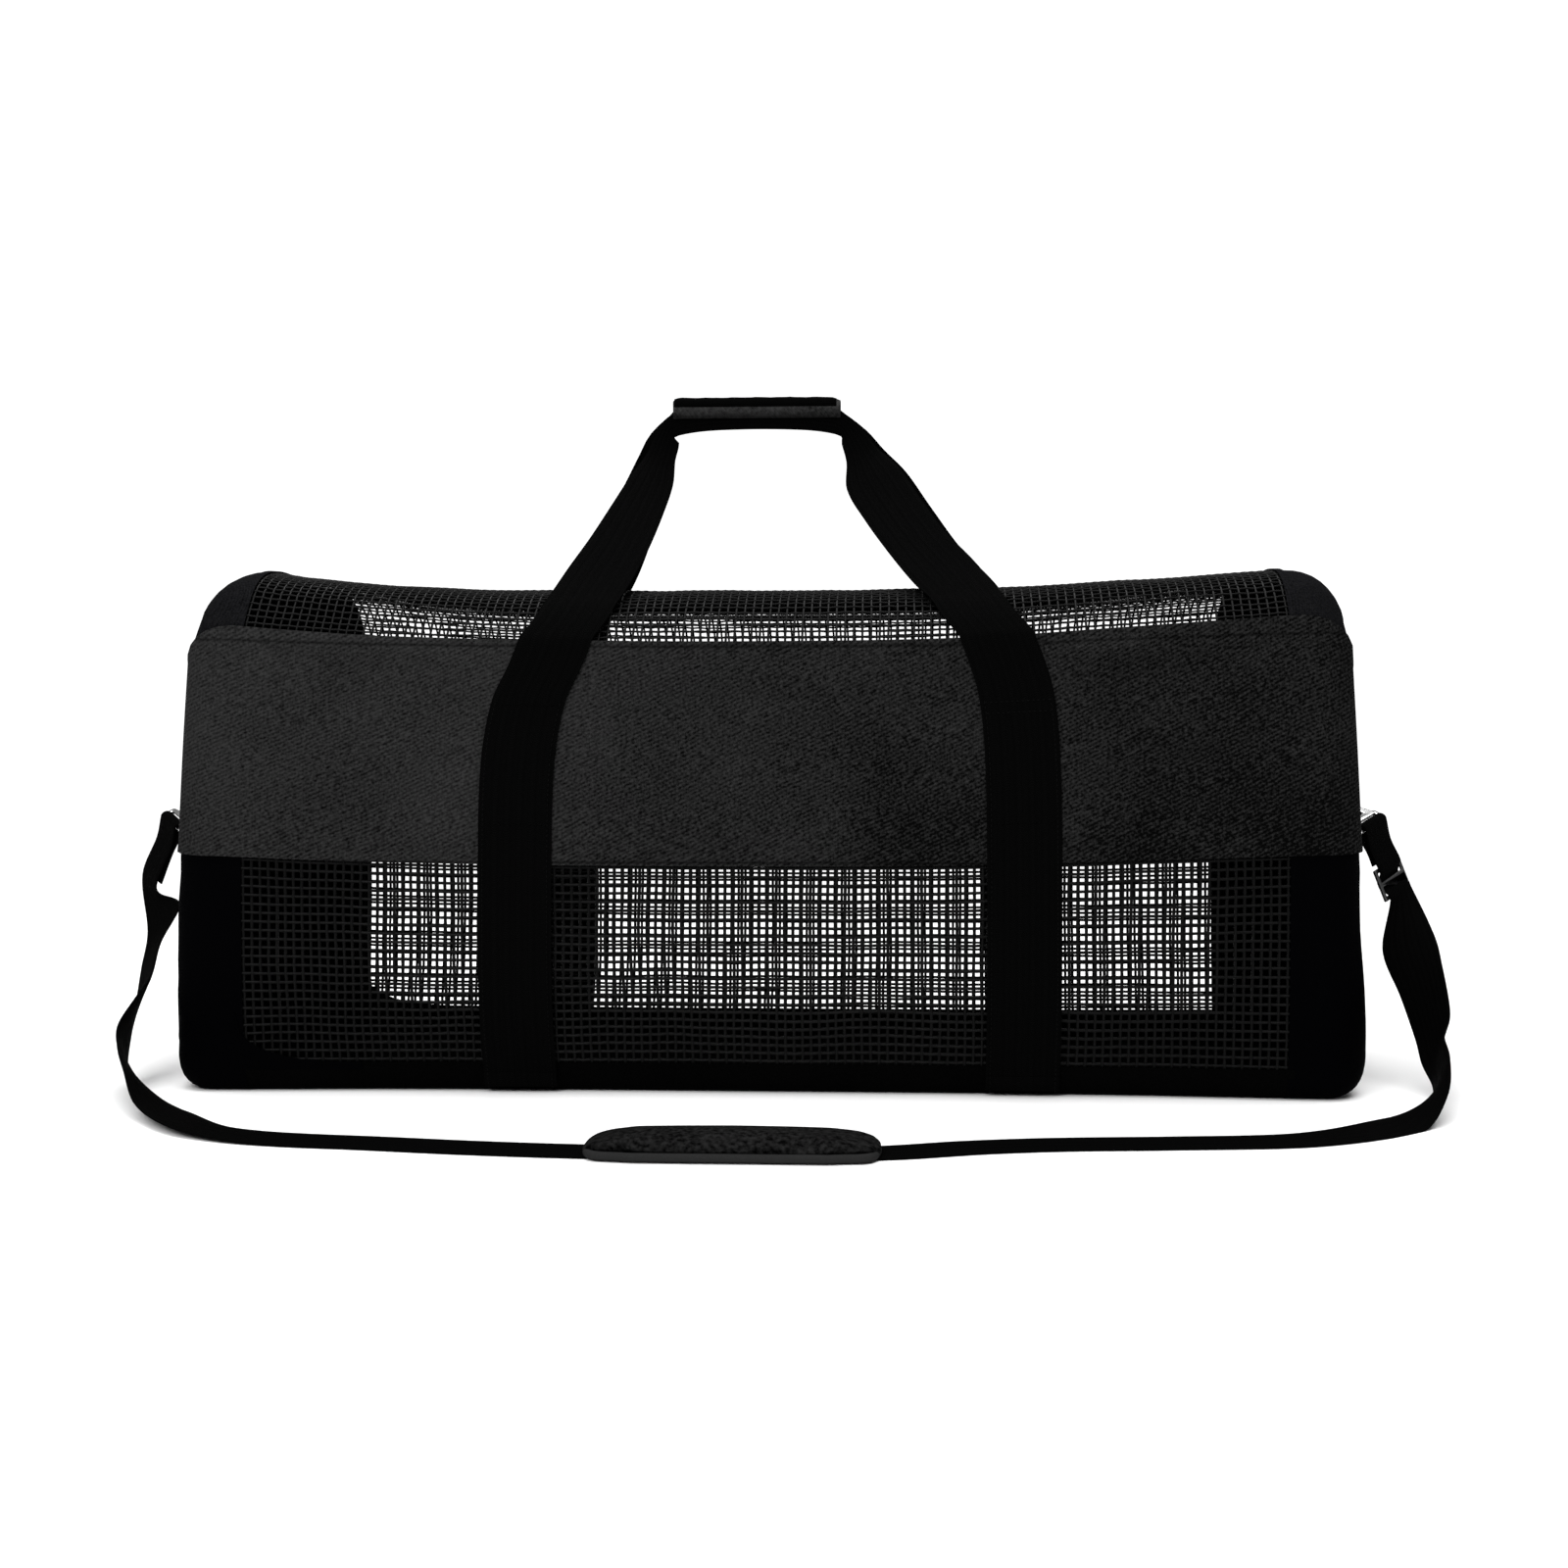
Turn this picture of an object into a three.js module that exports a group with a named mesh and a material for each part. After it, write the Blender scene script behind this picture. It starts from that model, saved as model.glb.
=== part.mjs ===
// Mesh duffel for dive gear: net panels, cloth bands and caps, webbing handles, shoulder strap.
// Millimetres, +Z up, +X along the length, the front faces -Y, origin under the middle of the base.
import * as THREE from "three";
import { mergeVertices } from "three/addons/utils/BufferGeometryUtils.js";

// Driving sizes of the body
const BASE_LENGTH = 824;
const TOP_LENGTH = 799;
const DEPTH = 352;
const SEAM_HEIGHT = 325;
const CROWN_HEIGHT = 367;
const FOOT_HEIGHT = 16;
const FOOT_TUCK = 12;
const TUCK_FADE = 0.25;
const BAND_FOOT = 157;
const ZIP_SAG = 15;
const CAP_WRAP = 53;
const WRAP_LEAST = 2;
const SIDE_CORNER = 38;
const TOP_CORNER = 40;
const FOOT_CORNER = 24;
const END_BULGE = 5;
// Cloth, webbing and seams
const CLOTH = 2;
const WEBBING = 2;
const CLEAR = 0.3;
const NET_TUCK = 10;
const NET_BAR = 8;
const NET_COLUMNS = 10;
const NET_ROWS = 3;
const TAPE_WIDTH = 22;
const TAPE_THICK = 1.2;
const CHAIN_WIDTH = 8;
const CHAIN_THICK = 2.6;
// Zip slider, lying at the end of the chain
const SLIDER_LENGTH = 12;
const SLIDER_THICK = 5;
const PULL_LENGTH = 26;
const PULL_WIDTH = 6;
// Handles and their wrap
const HANDLE_WIDTH = 50;
const FRONT_LEFT = -165;
const FRONT_RIGHT = 178;
const REAR_LEFT = -186;
const REAR_RIGHT = 190;
const GRIP_TOP = 499.5;
const GRIP_LENGTH = 126;
const GRIP_SHIFT = -13;
const WRAP_THICK = 3;
const WRAP_DROP = 15;
const FOLD_HEIGHT = 19;
const FOLD_THICK = 3.6;
// Shoulder strap, rings and slider
const STRAP_WIDTH = 38;
const STRAP_REACH = 341;
const STRAP_SPREAD = 447;
const RING_HEIGHT = 180;
const LEFT_STANDOFF = 50;
const RIGHT_STANDOFF = 35;
const RING_AHEAD = 17;
const RING_WIRE = 4;
const RING_SLOT = 4;
const RING_RISE = 26;
const TAB_WIDTH = 19;
const TAB_FOOT = 20;
const TAB_TOP = 54;
const LOOP_SEWN = 44;
const LOOP_OPEN = 48;
const TAIL_LENGTH = 27;
const SLIDER_DROP = 30;
const SLIDER_FRAME = 24;
const SLIDER_BAR = 3;
const SLIDER_PLATE = 2.4;
// Shoulder pad
const PAD_LENGTH = 182;
const PAD_WIDTH = 66;
const PAD_THICK = 12;
const PAD_SHIFT = -2;
const PAD_SQUARE = 0.6;
// How the right ring lies: along its bars, from the strap's bar to the tab's, and the strap below it;
// the left ring is the mirror of it
const RING_BAR = { x: 0.55, y: 0.8, z: 0.22 };
const RING_WAY = { x: -0.72, y: 0.5, z: 0.48 };
const STRAP_WAY = { x: 0.13, y: -0.3, z: -0.95 };

// Section of the body along its length: "at" is a share of half the base length,
// seam and crown are shares of their heights, sag of the zip sag, tuck of the foot tuck
const stations = [
  { at: -1.0, seam: 0.988, crown: 0.994, sag: 0.15, tuck: 0.0 },
  { at: -0.9, seam: 0.986, crown: 0.994, sag: 0.2, tuck: 0.0 },
  { at: -0.78, seam: 0.974, crown: 0.984, sag: 0.4, tuck: 0.3 },
  { at: -0.62, seam: 0.961, crown: 0.965, sag: 0.8, tuck: 0.7 },
  { at: -0.33, seam: 0.951, crown: 0.957, sag: 1.0, tuck: 0.95 },
  { at: 0.0, seam: 0.948, crown: 0.956, sag: 1.0, tuck: 1.0 },
  { at: 0.33, seam: 0.954, crown: 0.959, sag: 1.0, tuck: 0.95 },
  { at: 0.62, seam: 0.977, crown: 0.972, sag: 0.7, tuck: 0.7 },
  { at: 0.78, seam: 0.991, crown: 0.985, sag: 0.35, tuck: 0.3 },
  { at: 0.9, seam: 1.0, crown: 0.988, sag: 0.15, tuck: 0.0 },
  { at: 1.0, seam: 1.0, crown: 0.988, sag: 0.1, tuck: 0.0 },
];
// Long wall from the foot to the seam: out is a share of half the depth
const wallRows = [
  { at: 0.0, out: 0.955 },
  { at: 0.12, out: 0.985 },
  { at: 0.3, out: 1.0 },
  { at: 0.5, out: 1.0 },
  { at: 0.76, out: 0.985 },
  { at: 1.0, out: 0.955 },
];
// Top from the seam to the zip: out is a share of the seam's half depth,
// rise of the height from seam to crown, dip of the local zip sag
const topRows = [
  { at: 0.0, out: 1.0, rise: 0.0, dip: 0.0 },
  { at: 0.1, out: 0.93, rise: 0.34, dip: 0.0 },
  { at: 0.2, out: 0.84, rise: 0.66, dip: 0.0 },
  { at: 0.34, out: 0.7, rise: 0.89, dip: 0.0 },
  { at: 0.52, out: 0.5, rise: 1.0, dip: 0.0 },
  { at: 0.76, out: 0.25, rise: 1.0, dip: 0.02 },
  { at: 0.87, out: 0.13, rise: 1.0, dip: 0.25 },
  { at: 1.0, out: 0.0, rise: 1.0, dip: 1.0 },
];
// Handle between its foot and the shoulder: at counts 1 at the foot seam, 2 at the top seam and more
// over the shoulder; left and right are how far it leans, as shares of the run to the grip's end
const leanRows = [
  { at: 0.8, left: 0.0, right: 0.0, rear: 0.0 },
  { at: 1.5, left: 0.0, right: 0.0, rear: 0.0 },
  { at: 1.72, left: 0.02, right: 0.01, rear: 0.0 },
  { at: 1.86, left: 0.1, right: 0.04, rear: 0.02 },
  { at: 1.94, left: 0.22, right: 0.09, rear: 0.04 },
  { at: 2.02, left: 0.32, right: 0.16, rear: 0.07 },
  { at: 2.1, left: 0.4, right: 0.23, rear: 0.11 },
  { at: 2.2, left: 0.47, right: 0.3, rear: 0.15 },
];
const handleLevels = [
  0.8, 0.87, 0.94, 1.0, 1.05, 1.1, 1.16, 1.24, 1.34, 1.47, 1.62, 1.75, 1.85,
  1.93, 1.97, 2.0, 2.03, 2.07, 2.11, 2.16, 2.2,
];
// Free handle from the shoulder to the grip: shares of the rise, run and depth left to go,
// left and right count 0 where that side's webbing is flat and 1 where it is folded along its middle
const freeRows = [
  { up: 0.13, run: 0.16, back: 0.17, left: 0.06, right: 0.06 },
  { up: 0.3, run: 0.37, back: 0.37, left: 0.2, right: 0.2 },
  { up: 0.5, run: 0.57, back: 0.6, left: 0.38, right: 0.22 },
  { up: 0.68, run: 0.73, back: 0.8, left: 0.58, right: 0.28 },
  { up: 0.82, run: 0.82, back: 0.95, left: 0.9, right: 0.8 },
  { up: 0.92, run: 0.9, back: 1.0, left: 1.0, right: 1.0 },
];
// Handle inside the wrap, from its left end to its right: drop is a share of the fold height
const gripRows = [
  { at: 0.0, drop: 0.3 },
  { at: 0.07, drop: 0.16 },
  { at: 0.2, drop: 0.05 },
  { at: 0.4, drop: 0.0 },
  { at: 0.6, drop: 0.0 },
  { at: 0.8, drop: 0.05 },
  { at: 0.93, drop: 0.16 },
  { at: 1.0, drop: 0.3 },
];
// Shoulder strap below each ring, down to the pad: out is a share of the strap's spread,
// ahead of its reach, up of the ring height, and face is the webbing's outer side, which twists to lie
// downwards on the left and upwards on the right
const leftStrapRows = [
  { out: 1.016, ahead: 0.129, up: 0.611, face: [-0.62, -0.65, 0.44] },
  { out: 1.02, ahead: 0.194, up: 0.467, face: [-0.81, -0.43, 0.39] },
  { out: 1.013, ahead: 0.27, up: 0.328, face: [-0.87, -0.36, 0.35] },
  { out: 1.011, ahead: 0.337, up: 0.244, face: [-0.95, -0.23, 0.2] },
  { out: 0.998, ahead: 0.44, up: 0.15, face: [-0.95, -0.28, -0.15] },
  { out: 0.953, ahead: 0.557, up: 0.1, face: [-0.81, -0.36, -0.47] },
  { out: 0.895, ahead: 0.686, up: 0.069, face: [-0.61, -0.26, -0.74] },
  { out: 0.841, ahead: 0.792, up: 0.028, face: [-0.27, -0.09, -0.96] },
  { out: 0.756, ahead: 0.933, up: 0.017, face: [-0.11, -0.06, -0.99] },
  { out: 0.682, ahead: 0.991, up: 0.008, face: [-0.04, -0.02, -1.0] },
  { out: 0.6, ahead: 1.021, up: 0.006, face: [0.0, 0.0, -1.0] },
  { out: 0.5, ahead: 1.04, up: 0.0, face: [0.0, 0.0, -1.0] },
  { out: 0.35, ahead: 1.075, up: 0.0, face: [0.0, 0.0, -1.0] },
  { out: 0.21, ahead: 1.096, up: 0.0, face: [0.0, 0.0, -1.0] },
  { out: 0.1, ahead: 1.1, up: 0.0, face: [0.0, 0.0, -1.0] },
];
const rightStrapRows = [
  { out: 1.027, ahead: 0.167, up: 0.538, face: [-0.46, -0.68, 0.57] },
  { out: 1.03, ahead: 0.267, up: 0.4, face: [-0.77, -0.4, 0.5] },
  { out: 1.03, ahead: 0.358, up: 0.267, face: [-0.89, -0.22, 0.41] },
  { out: 1.023, ahead: 0.422, up: 0.206, face: [-0.92, -0.02, 0.39] },
  { out: 1.013, ahead: 0.499, up: 0.156, face: [-0.97, 0.17, 0.16] },
  { out: 0.991, ahead: 0.622, up: 0.111, face: [-0.91, 0.25, 0.34] },
  { out: 0.957, ahead: 0.698, up: 0.061, face: [-0.57, 0.11, 0.82] },
  { out: 0.911, ahead: 0.765, up: 0.008, face: [-0.09, -0.08, 0.99] },
  { out: 0.823, ahead: 0.871, up: 0.006, face: [0.0, 0.0, 1.0] },
  { out: 0.734, ahead: 0.933, up: 0.006, face: [0.0, 0.0, 1.0] },
  { out: 0.579, ahead: 0.965, up: 0.0, face: [0.0, 0.0, 1.0] },
  { out: 0.42, ahead: 0.99, up: 0.0, face: [0.0, 0.0, 1.0] },
  { out: 0.31, ahead: 1.025, up: 0.0, face: [0.0, 0.0, 1.0] },
  { out: 0.2, ahead: 1.08, up: 0.0, face: [0.0, 0.0, 1.0] },
  { out: 0.1, ahead: 1.1, up: 0.0, face: [0.0, 0.0, 1.0] },
];
// Plan of the pad: half counts as a share of its half width, thick as a share of its thickness
const padRows = [
  { at: -0.5, half: 0.5, thick: 0.35 },
  { at: -0.47, half: 0.7, thick: 0.6 },
  { at: -0.42, half: 0.86, thick: 0.85 },
  { at: -0.33, half: 0.97, thick: 1.0 },
  { at: -0.15, half: 1.0, thick: 0.94 },
  { at: 0.0, half: 1.0, thick: 0.92 },
  { at: 0.15, half: 1.0, thick: 0.94 },
  { at: 0.33, half: 0.97, thick: 1.0 },
  { at: 0.42, half: 0.86, thick: 0.9 },
  { at: 0.47, half: 0.7, thick: 0.65 },
  { at: 0.5, half: 0.5, thick: 0.35 },
];

// Helpers for tables and vectors
const vec = (x, y, z) => new THREE.Vector3(x, y, z);
const atEnd = (end, { x, y, z }) => vec(end * x, y, z);
const mix = (a, b, share) => a + (b - a) * share;

function readRow(rows, at, column) {
  const last = rows.length - 1;
  let k = 0;
  while (k < last - 1 && at > rows[k + 1].at) k += 1;
  const span = rows[k + 1].at - rows[k].at;
  const share = THREE.MathUtils.clamp((at - rows[k].at) / span, 0, 1);
  const before = rows[Math.max(k - 1, 0)];
  const after = rows[Math.min(k + 2, last)];
  const slopeIn = (rows[k + 1][column] - before[column]) / (rows[k + 1].at - before.at);
  const slopeOut = (after[column] - rows[k][column]) / (after.at - rows[k].at);
  const s2 = share * share;
  const s3 = s2 * share;
  return (2 * s3 - 3 * s2 + 1) * rows[k][column] + (s3 - 2 * s2 + share) * span * slopeIn
    + (3 * s2 - 2 * s3) * rows[k + 1][column] + (s3 - s2) * span * slopeOut;
}

// Body section: across is 0 under the base, 1 at the foot seam, 2 at the top seam, 3 at the zip,
// and runs on to 6 down the rear; x is where along the length
function section(x, across) {
  const rear = across > 3;
  const turn = rear ? 6 - across : across;
  const side = rear ? 1 : -1;
  const at = THREE.MathUtils.clamp(x / (BASE_LENGTH / 2), -1, 1);
  const seam = readRow(stations, at, "seam") * SEAM_HEIGHT;
  const crown = readRow(stations, at, "crown") * CROWN_HEIGHT;
  const tuck = readRow(stations, at, "tuck") * FOOT_TUCK;
  const half = DEPTH / 2;
  const foot = half * wallRows[0].out - tuck;
  if (turn <= 0.5) return [side * turn * 2 * (foot - FOOT_HEIGHT), 0];
  if (turn <= 1) {
    const angle = (turn - 0.5) * Math.PI;
    return [side * (foot - FOOT_HEIGHT * (1 - Math.sin(angle))), FOOT_HEIGHT * (1 - Math.cos(angle))];
  }
  if (turn <= 2) {
    const share = turn - 1;
    const fade = Math.max(0, 1 - share / TUCK_FADE);
    const out = half * readRow(wallRows, share, "out") - tuck * fade * fade;
    return [side * out, mix(FOOT_HEIGHT, seam, share)];
  }
  const share = turn - 2;
  const seamHalf = half * wallRows[wallRows.length - 1].out;
  const sag = readRow(stations, at, "sag") * ZIP_SAG;
  const z = seam + readRow(topRows, share, "rise") * (crown - seam) - readRow(topRows, share, "dip") * sag;
  return [side * seamHalf * readRow(topRows, share, "out"), z];
}

// Outer skin: along is -1 to 1 between the end caps, 2 at the start of the corner, 3 at the rim of
// the end wall and 4 in its middle
const WRAP_START = BASE_LENGTH / 2 - CAP_WRAP;
const WALL_CENTRE = CROWN_HEIGHT / 2;

function wallX(z) {
  return mix(BASE_LENGTH, TOP_LENGTH, z / CROWN_HEIGHT) / 2;
}

function skin(along, across) {
  const end = Math.sign(along);
  const reach = Math.abs(along);
  if (reach <= 1) return vec(along * WRAP_START, ...section(along * WRAP_START, across));
  const [rimY, rimZ] = section(end * WRAP_START, across);
  const wy = (rimY / (DEPTH / 2)) ** 2;
  const wz = ((rimZ - WALL_CENTRE) / WALL_CENTRE) ** 2;
  const flatCorner = rimZ > WALL_CENTRE ? TOP_CORNER : FOOT_CORNER;
  const room = CAP_WRAP - (wallX(0) - wallX(rimZ)) - WRAP_LEAST;
  const corner = Math.min((wy * SIDE_CORNER + wz * flatCorner) / (wy + wz), room);
  const cornerX = wallX(rimZ) - corner;
  const x = mix(WRAP_START, cornerX, Math.min(reach - 1, 1));
  const [y, z] = section(end * x, across);
  if (reach <= 2) return vec(end * x, y, z);
  const angle = Math.min(reach - 2, 1) * Math.PI / 2;
  const shrink = 1 - Math.cos(angle);
  const edgeY = y * (1 - SIDE_CORNER * shrink / (DEPTH / 2));
  const edgeZ = WALL_CENTRE + (z - WALL_CENTRE) * (1 - flatCorner * shrink / WALL_CENTRE);
  if (reach <= 3) return vec(end * (cornerX + corner * Math.sin(angle)), edgeY, edgeZ);
  const left = 4 - reach;
  const faceZ = mix(WALL_CENTRE, edgeZ, left);
  return vec(end * (wallX(faceZ) + END_BULGE * (1 - left * left)), edgeY * left, faceZ);
}

// Outward direction of the skin, from points a small step away; the end walls face along X
const NORMAL_STEP = 0.004;
const FLAT_FROM = 3.2;
const SPINE_SHARE = 0.9;

function skinNormal(along, across) {
  if (Math.abs(along) > FLAT_FROM) return vec(Math.sign(along), 0, 0);
  const du = skin(along + NORMAL_STEP, across).sub(skin(along - NORMAL_STEP, across));
  const low = (across - NORMAL_STEP + 6) % 6;
  const high = (across + NORMAL_STEP) % 6;
  const dv = skin(along, high).sub(skin(along, low));
  const normal = dv.cross(du).normalize();
  const spine = THREE.MathUtils.clamp(along, -SPINE_SHARE, SPINE_SHARE) * WRAP_START;
  const outward = skin(along, across).sub(vec(spine, 0, WALL_CENTRE));
  return normal.dot(outward) < 0 ? normal.negate() : normal;
}

// Where across the section a height on the wall or a depth on the top lies, in the middle of the bag
const MIDDLE_SEAM = section(0, 2)[1];
const BAND_LEVEL = 1 + (BAND_FOOT - FOOT_HEIGHT) / (MIDDLE_SEAM - FOOT_HEIGHT);
const TUCK_LEVEL = NET_TUCK / (MIDDLE_SEAM - FOOT_HEIGHT);

function levelAtDepth(depth) {
  let low = 2;
  let high = 3;
  for (let k = 0; k < 30; k += 1) {
    const middle = (low + high) / 2;
    if (-section(0, middle)[0] > depth) low = middle;
    else high = middle;
  }
  return low;
}

function cuts(from, to, count) {
  return Array.from({ length: count + 1 }, (_, k) => mix(from, to, k / count));
}

// One closed solid from loose triangles: shared points are joined, empty triangles dropped,
// and the faces turned outward
function solid(triangles) {
  const loose = new THREE.BufferGeometry();
  const numbers = triangles.flat().flatMap((p) => [p.x, p.y, p.z]);
  loose.setAttribute("position", new THREE.Float32BufferAttribute(numbers, 3));
  const joined = mergeVertices(loose, 1e-3);
  const points = joined.getAttribute("position");
  const kept = [];
  let volume = 0;
  const corner = (k) => new THREE.Vector3().fromBufferAttribute(points, k);
  for (let k = 0; k < joined.index.count; k += 3) {
    const [a, b, c] = [0, 1, 2].map((n) => joined.index.getX(k + n));
    if (a === b || b === c || a === c) continue;
    kept.push(a, b, c);
    volume += corner(a).dot(corner(b).cross(corner(c)));
  }
  if (volume < 0) kept.reverse();
  joined.setIndex(kept);
  joined.computeVertexNormals();
  return joined;
}

// Grid of outer and inner points to a closed sheet; cells in holes are left open
function gridSolid(outer, inner, round = false, isHole = () => false) {
  const rows = outer.length - 1;
  const columns = outer[0].length - (round ? 0 : 1);
  const next = (j) => (j + 1) % outer[0].length;
  const filled = (i, j) => {
    const column = round ? (j + columns) % columns : j;
    return i >= 0 && i < rows && column >= 0 && column < columns && !isHole(i, column);
  };
  const triangles = [];
  const quad = (a, b, c, d) => triangles.push([a, b, c], [a, c, d]);
  for (let i = 0; i < rows; i += 1) {
    for (let j = 0; j < columns; j += 1) {
      if (!filled(i, j)) continue;
      const n = next(j);
      quad(outer[i][j], outer[i + 1][j], outer[i + 1][n], outer[i][n]);
      quad(inner[i][j], inner[i][n], inner[i + 1][n], inner[i + 1][j]);
      if (!filled(i - 1, j)) quad(outer[i][j], outer[i][n], inner[i][n], inner[i][j]);
      if (!filled(i + 1, j)) quad(outer[i + 1][n], outer[i + 1][j], inner[i + 1][j], inner[i + 1][n]);
      if (!filled(i, j - 1)) quad(outer[i + 1][j], outer[i][j], inner[i][j], inner[i + 1][j]);
      if (!filled(i, j + 1)) quad(outer[i][n], outer[i + 1][n], inner[i + 1][n], inner[i][n]);
    }
  }
  return solid(triangles);
}

function skinSheet(alongCuts, acrossCuts, outerOffset, innerOffset, round, isHole) {
  const layer = (offset) => alongCuts.map((along) => acrossCuts.map((across) => (
    skin(along, across).addScaledVector(skinNormal(along, across), offset))));
  return gridSolid(layer(outerOffset), layer(innerOffset), round, isHole);
}

// Materials
function finish(color, roughness, metalness) {
  return new THREE.MeshStandardMaterial({ color, roughness, metalness });
}
const netFinish = finish(0x2b2c2e, 0.5, 0);
const bandFinish = finish(0x35363a, 0.85, 0);
const capFinish = finish(0x23252b, 0.85, 0);
const baseFinish = finish(0x16171a, 0.8, 0);
const webbingFinish = finish(0x191a1c, 0.8, 0);
const metalFinish = finish(0xb9bcc0, 0.3, 1);
const padFinish = finish(0x3c3e41, 0.95, 0);

const bag = new THREE.Group();
function add(name, geometry, material) {
  const mesh = new THREE.Mesh(geometry, material);
  mesh.name = name;
  bag.add(mesh);
}

// Net panel: bars round a regular grid of square gaps
function netCuts(from, to, count, bar) {
  const pitch = (to - from - bar) / count;
  const list = [];
  for (let k = 0; k <= count; k += 1) list.push(from + pitch * k, from + pitch * k + bar);
  return list;
}

const SEAM_GAP = CLEAR / WRAP_START;

const netAlong = netCuts(-1 + SEAM_GAP, 1 - SEAM_GAP, NET_COLUMNS, NET_BAR / WRAP_START);

function addNet(name, low, high, rowLength) {
  const acrossCuts = netCuts(low, high, NET_ROWS, NET_BAR / rowLength);
  const isGap = (i, j) => i % 2 === 1 && j % 2 === 1;
  add(name, skinSheet(netAlong, acrossCuts, 0, -CLOTH, false, isGap), netFinish);
}

const WALL_RISE = MIDDLE_SEAM - FOOT_HEIGHT;
const FOOT_GAP = CLEAR / WALL_RISE;
const TOP_NET_LOW = 2 - TUCK_LEVEL;
const TOP_NET_HIGH = levelAtDepth(TAPE_WIDTH + CHAIN_WIDTH / 2 - NET_TUCK);
addNet("front_mesh", 1 + FOOT_GAP, BAND_LEVEL + TUCK_LEVEL, WALL_RISE);
addNet("rear_mesh", 6 - BAND_LEVEL - TUCK_LEVEL, 5 - FOOT_GAP, WALL_RISE);
addNet("top_mesh_front", TOP_NET_LOW, TOP_NET_HIGH, DEPTH / 2);
addNet("top_mesh_rear", 6 - TOP_NET_HIGH, 6 - TOP_NET_LOW, DEPTH / 2);

// Base: flat in the middle, rounded up to the foot seam front and rear
const baseAlong = [-1, -0.78, -0.5, -0.2, 0.15, 0.5, 0.78, 1].map((at) => at * (1 - SEAM_GAP));
const baseAcross = [-1, -0.875, -0.75, -0.625, -0.5, 0.5, 0.625, 0.75, 0.875, 1];
add("base_panel", skinSheet(baseAlong, baseAcross.map((v) => (v < 0 ? v + 6 : v)), 0, -CLOTH), baseFinish);

// Woven bands, lapped over the nets and over the corners of the end caps
const bandEnd = [2, 2.25, 2.5, 2.75, 2.95];
const bandAlong = [...bandEnd.map((u) => -u).reverse(), ...cuts(-1, 1, 12), ...bandEnd];
const bandLevels = [0, 0.22, 0.47, 0.72, 1].map((share) => mix(BAND_LEVEL, 2, share));
const rearBandLevels = bandLevels.map((level) => 6 - level).reverse();
const BAND_INNER = CLEAR;
const BAND_OUTER = CLEAR + CLOTH;
add("front_band", skinSheet(bandAlong, bandLevels, BAND_OUTER, BAND_INNER), bandFinish);
add("rear_band", skinSheet(bandAlong, rearBandLevels, BAND_OUTER, BAND_INNER), bandFinish);

// End caps: a dish each, its rim turned onto the long sides, the top and the base
const capAlong = [1, 2, 2.25, 2.5, 2.75, 3, 3.5, 4];
const capHalf = [0, 0.5, 0.67, 0.83, 1, 1.3, 1.6, 2, 2.1, 2.2, 2.34, 2.52, 2.76];
const capAcross = [...capHalf, 3, ...capHalf.slice(1).map((v) => 6 - v).reverse()];
for (const [name, end] of [["end_cap_left", -1], ["end_cap_right", 1]]) {
  add(name, skinSheet(capAlong.map((u) => u * end), capAcross, 0, -CLOTH, true), capFinish);
}

// Zip: two tapes lapped over the nets, with the chain between them
const TAPE_FAR = levelAtDepth(TAPE_WIDTH + CHAIN_WIDTH / 2);
const TAPE_NEAR = levelAtDepth(CHAIN_WIDTH / 2 + CLEAR);
const tapeLevels = [TAPE_FAR, TOP_NET_HIGH, mix(TOP_NET_HIGH, TAPE_NEAR, 0.5), TAPE_NEAR];
const TAPE_OUTER = CLEAR + TAPE_THICK;
add("zip_tape_front", skinSheet(netAlong, tapeLevels, TAPE_OUTER, CLEAR), webbingFinish);
const rearTapeLevels = tapeLevels.map((v) => 6 - v).reverse();
add("zip_tape_rear", skinSheet(netAlong, rearTapeLevels, TAPE_OUTER, CLEAR), webbingFinish);

const CHAIN_STOP = 0.9;
const chainAlong = cuts(-1 + SEAM_GAP, CHAIN_STOP, 12);
function chainLayer(offset) {
  return chainAlong.map((along) => [-0.5, 0.5].map((share) => {
    const point = skin(along, 3);
    return vec(point.x, share * CHAIN_WIDTH, point.z + offset);
  }));
}
add("zip_chain", gridSolid(chainLayer(CHAIN_THICK / 2), chainLayer(-CHAIN_THICK / 2)), webbingFinish);

// Ribbon: stations hold both edges, the face normal and the thickness
function ribbon(rows) {
  const layer = (side) => rows.map(({ low, high, face, thick }) => [low, high].map((point) => (
    point.clone().addScaledVector(face, side * thick / 2))));
  return gridSolid(layer(1), layer(-1));
}

function flatStation(point, heading, face, width, thick) {
  const across = face.clone().cross(heading).normalize();
  const outward = heading.clone().cross(across).normalize();
  return {
    low: point.clone().addScaledVector(across, -width / 2),
    high: point.clone().addScaledVector(across, width / 2),
    face: outward,
    thick,
  };
}

// Zip slider: body and pull in one piece past the end of the chain
function zipSliderShape() {
  const shape = new THREE.Shape();
  const start = CHAIN_STOP * WRAP_START + CLEAR;
  const floor = skin(CHAIN_STOP, 3).z - CHAIN_THICK / 2;
  const top = floor + SLIDER_THICK + CLEAR;
  shape.moveTo(start, floor);
  shape.lineTo(start + SLIDER_LENGTH, floor);
  shape.lineTo(start + SLIDER_LENGTH, top + WEBBING);
  shape.lineTo(start - PULL_LENGTH, top + WEBBING);
  shape.lineTo(start - PULL_LENGTH, top);
  shape.lineTo(start, top);
  return shape;
}
const sliderBody = new THREE.ExtrudeGeometry(zipSliderShape(), { depth: PULL_WIDTH, bevelEnabled: false });
sliderBody.rotateX(Math.PI / 2);
sliderBody.translate(0, PULL_WIDTH / 2, 0);
add("zip_slider", sliderBody, metalFinish);

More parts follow.
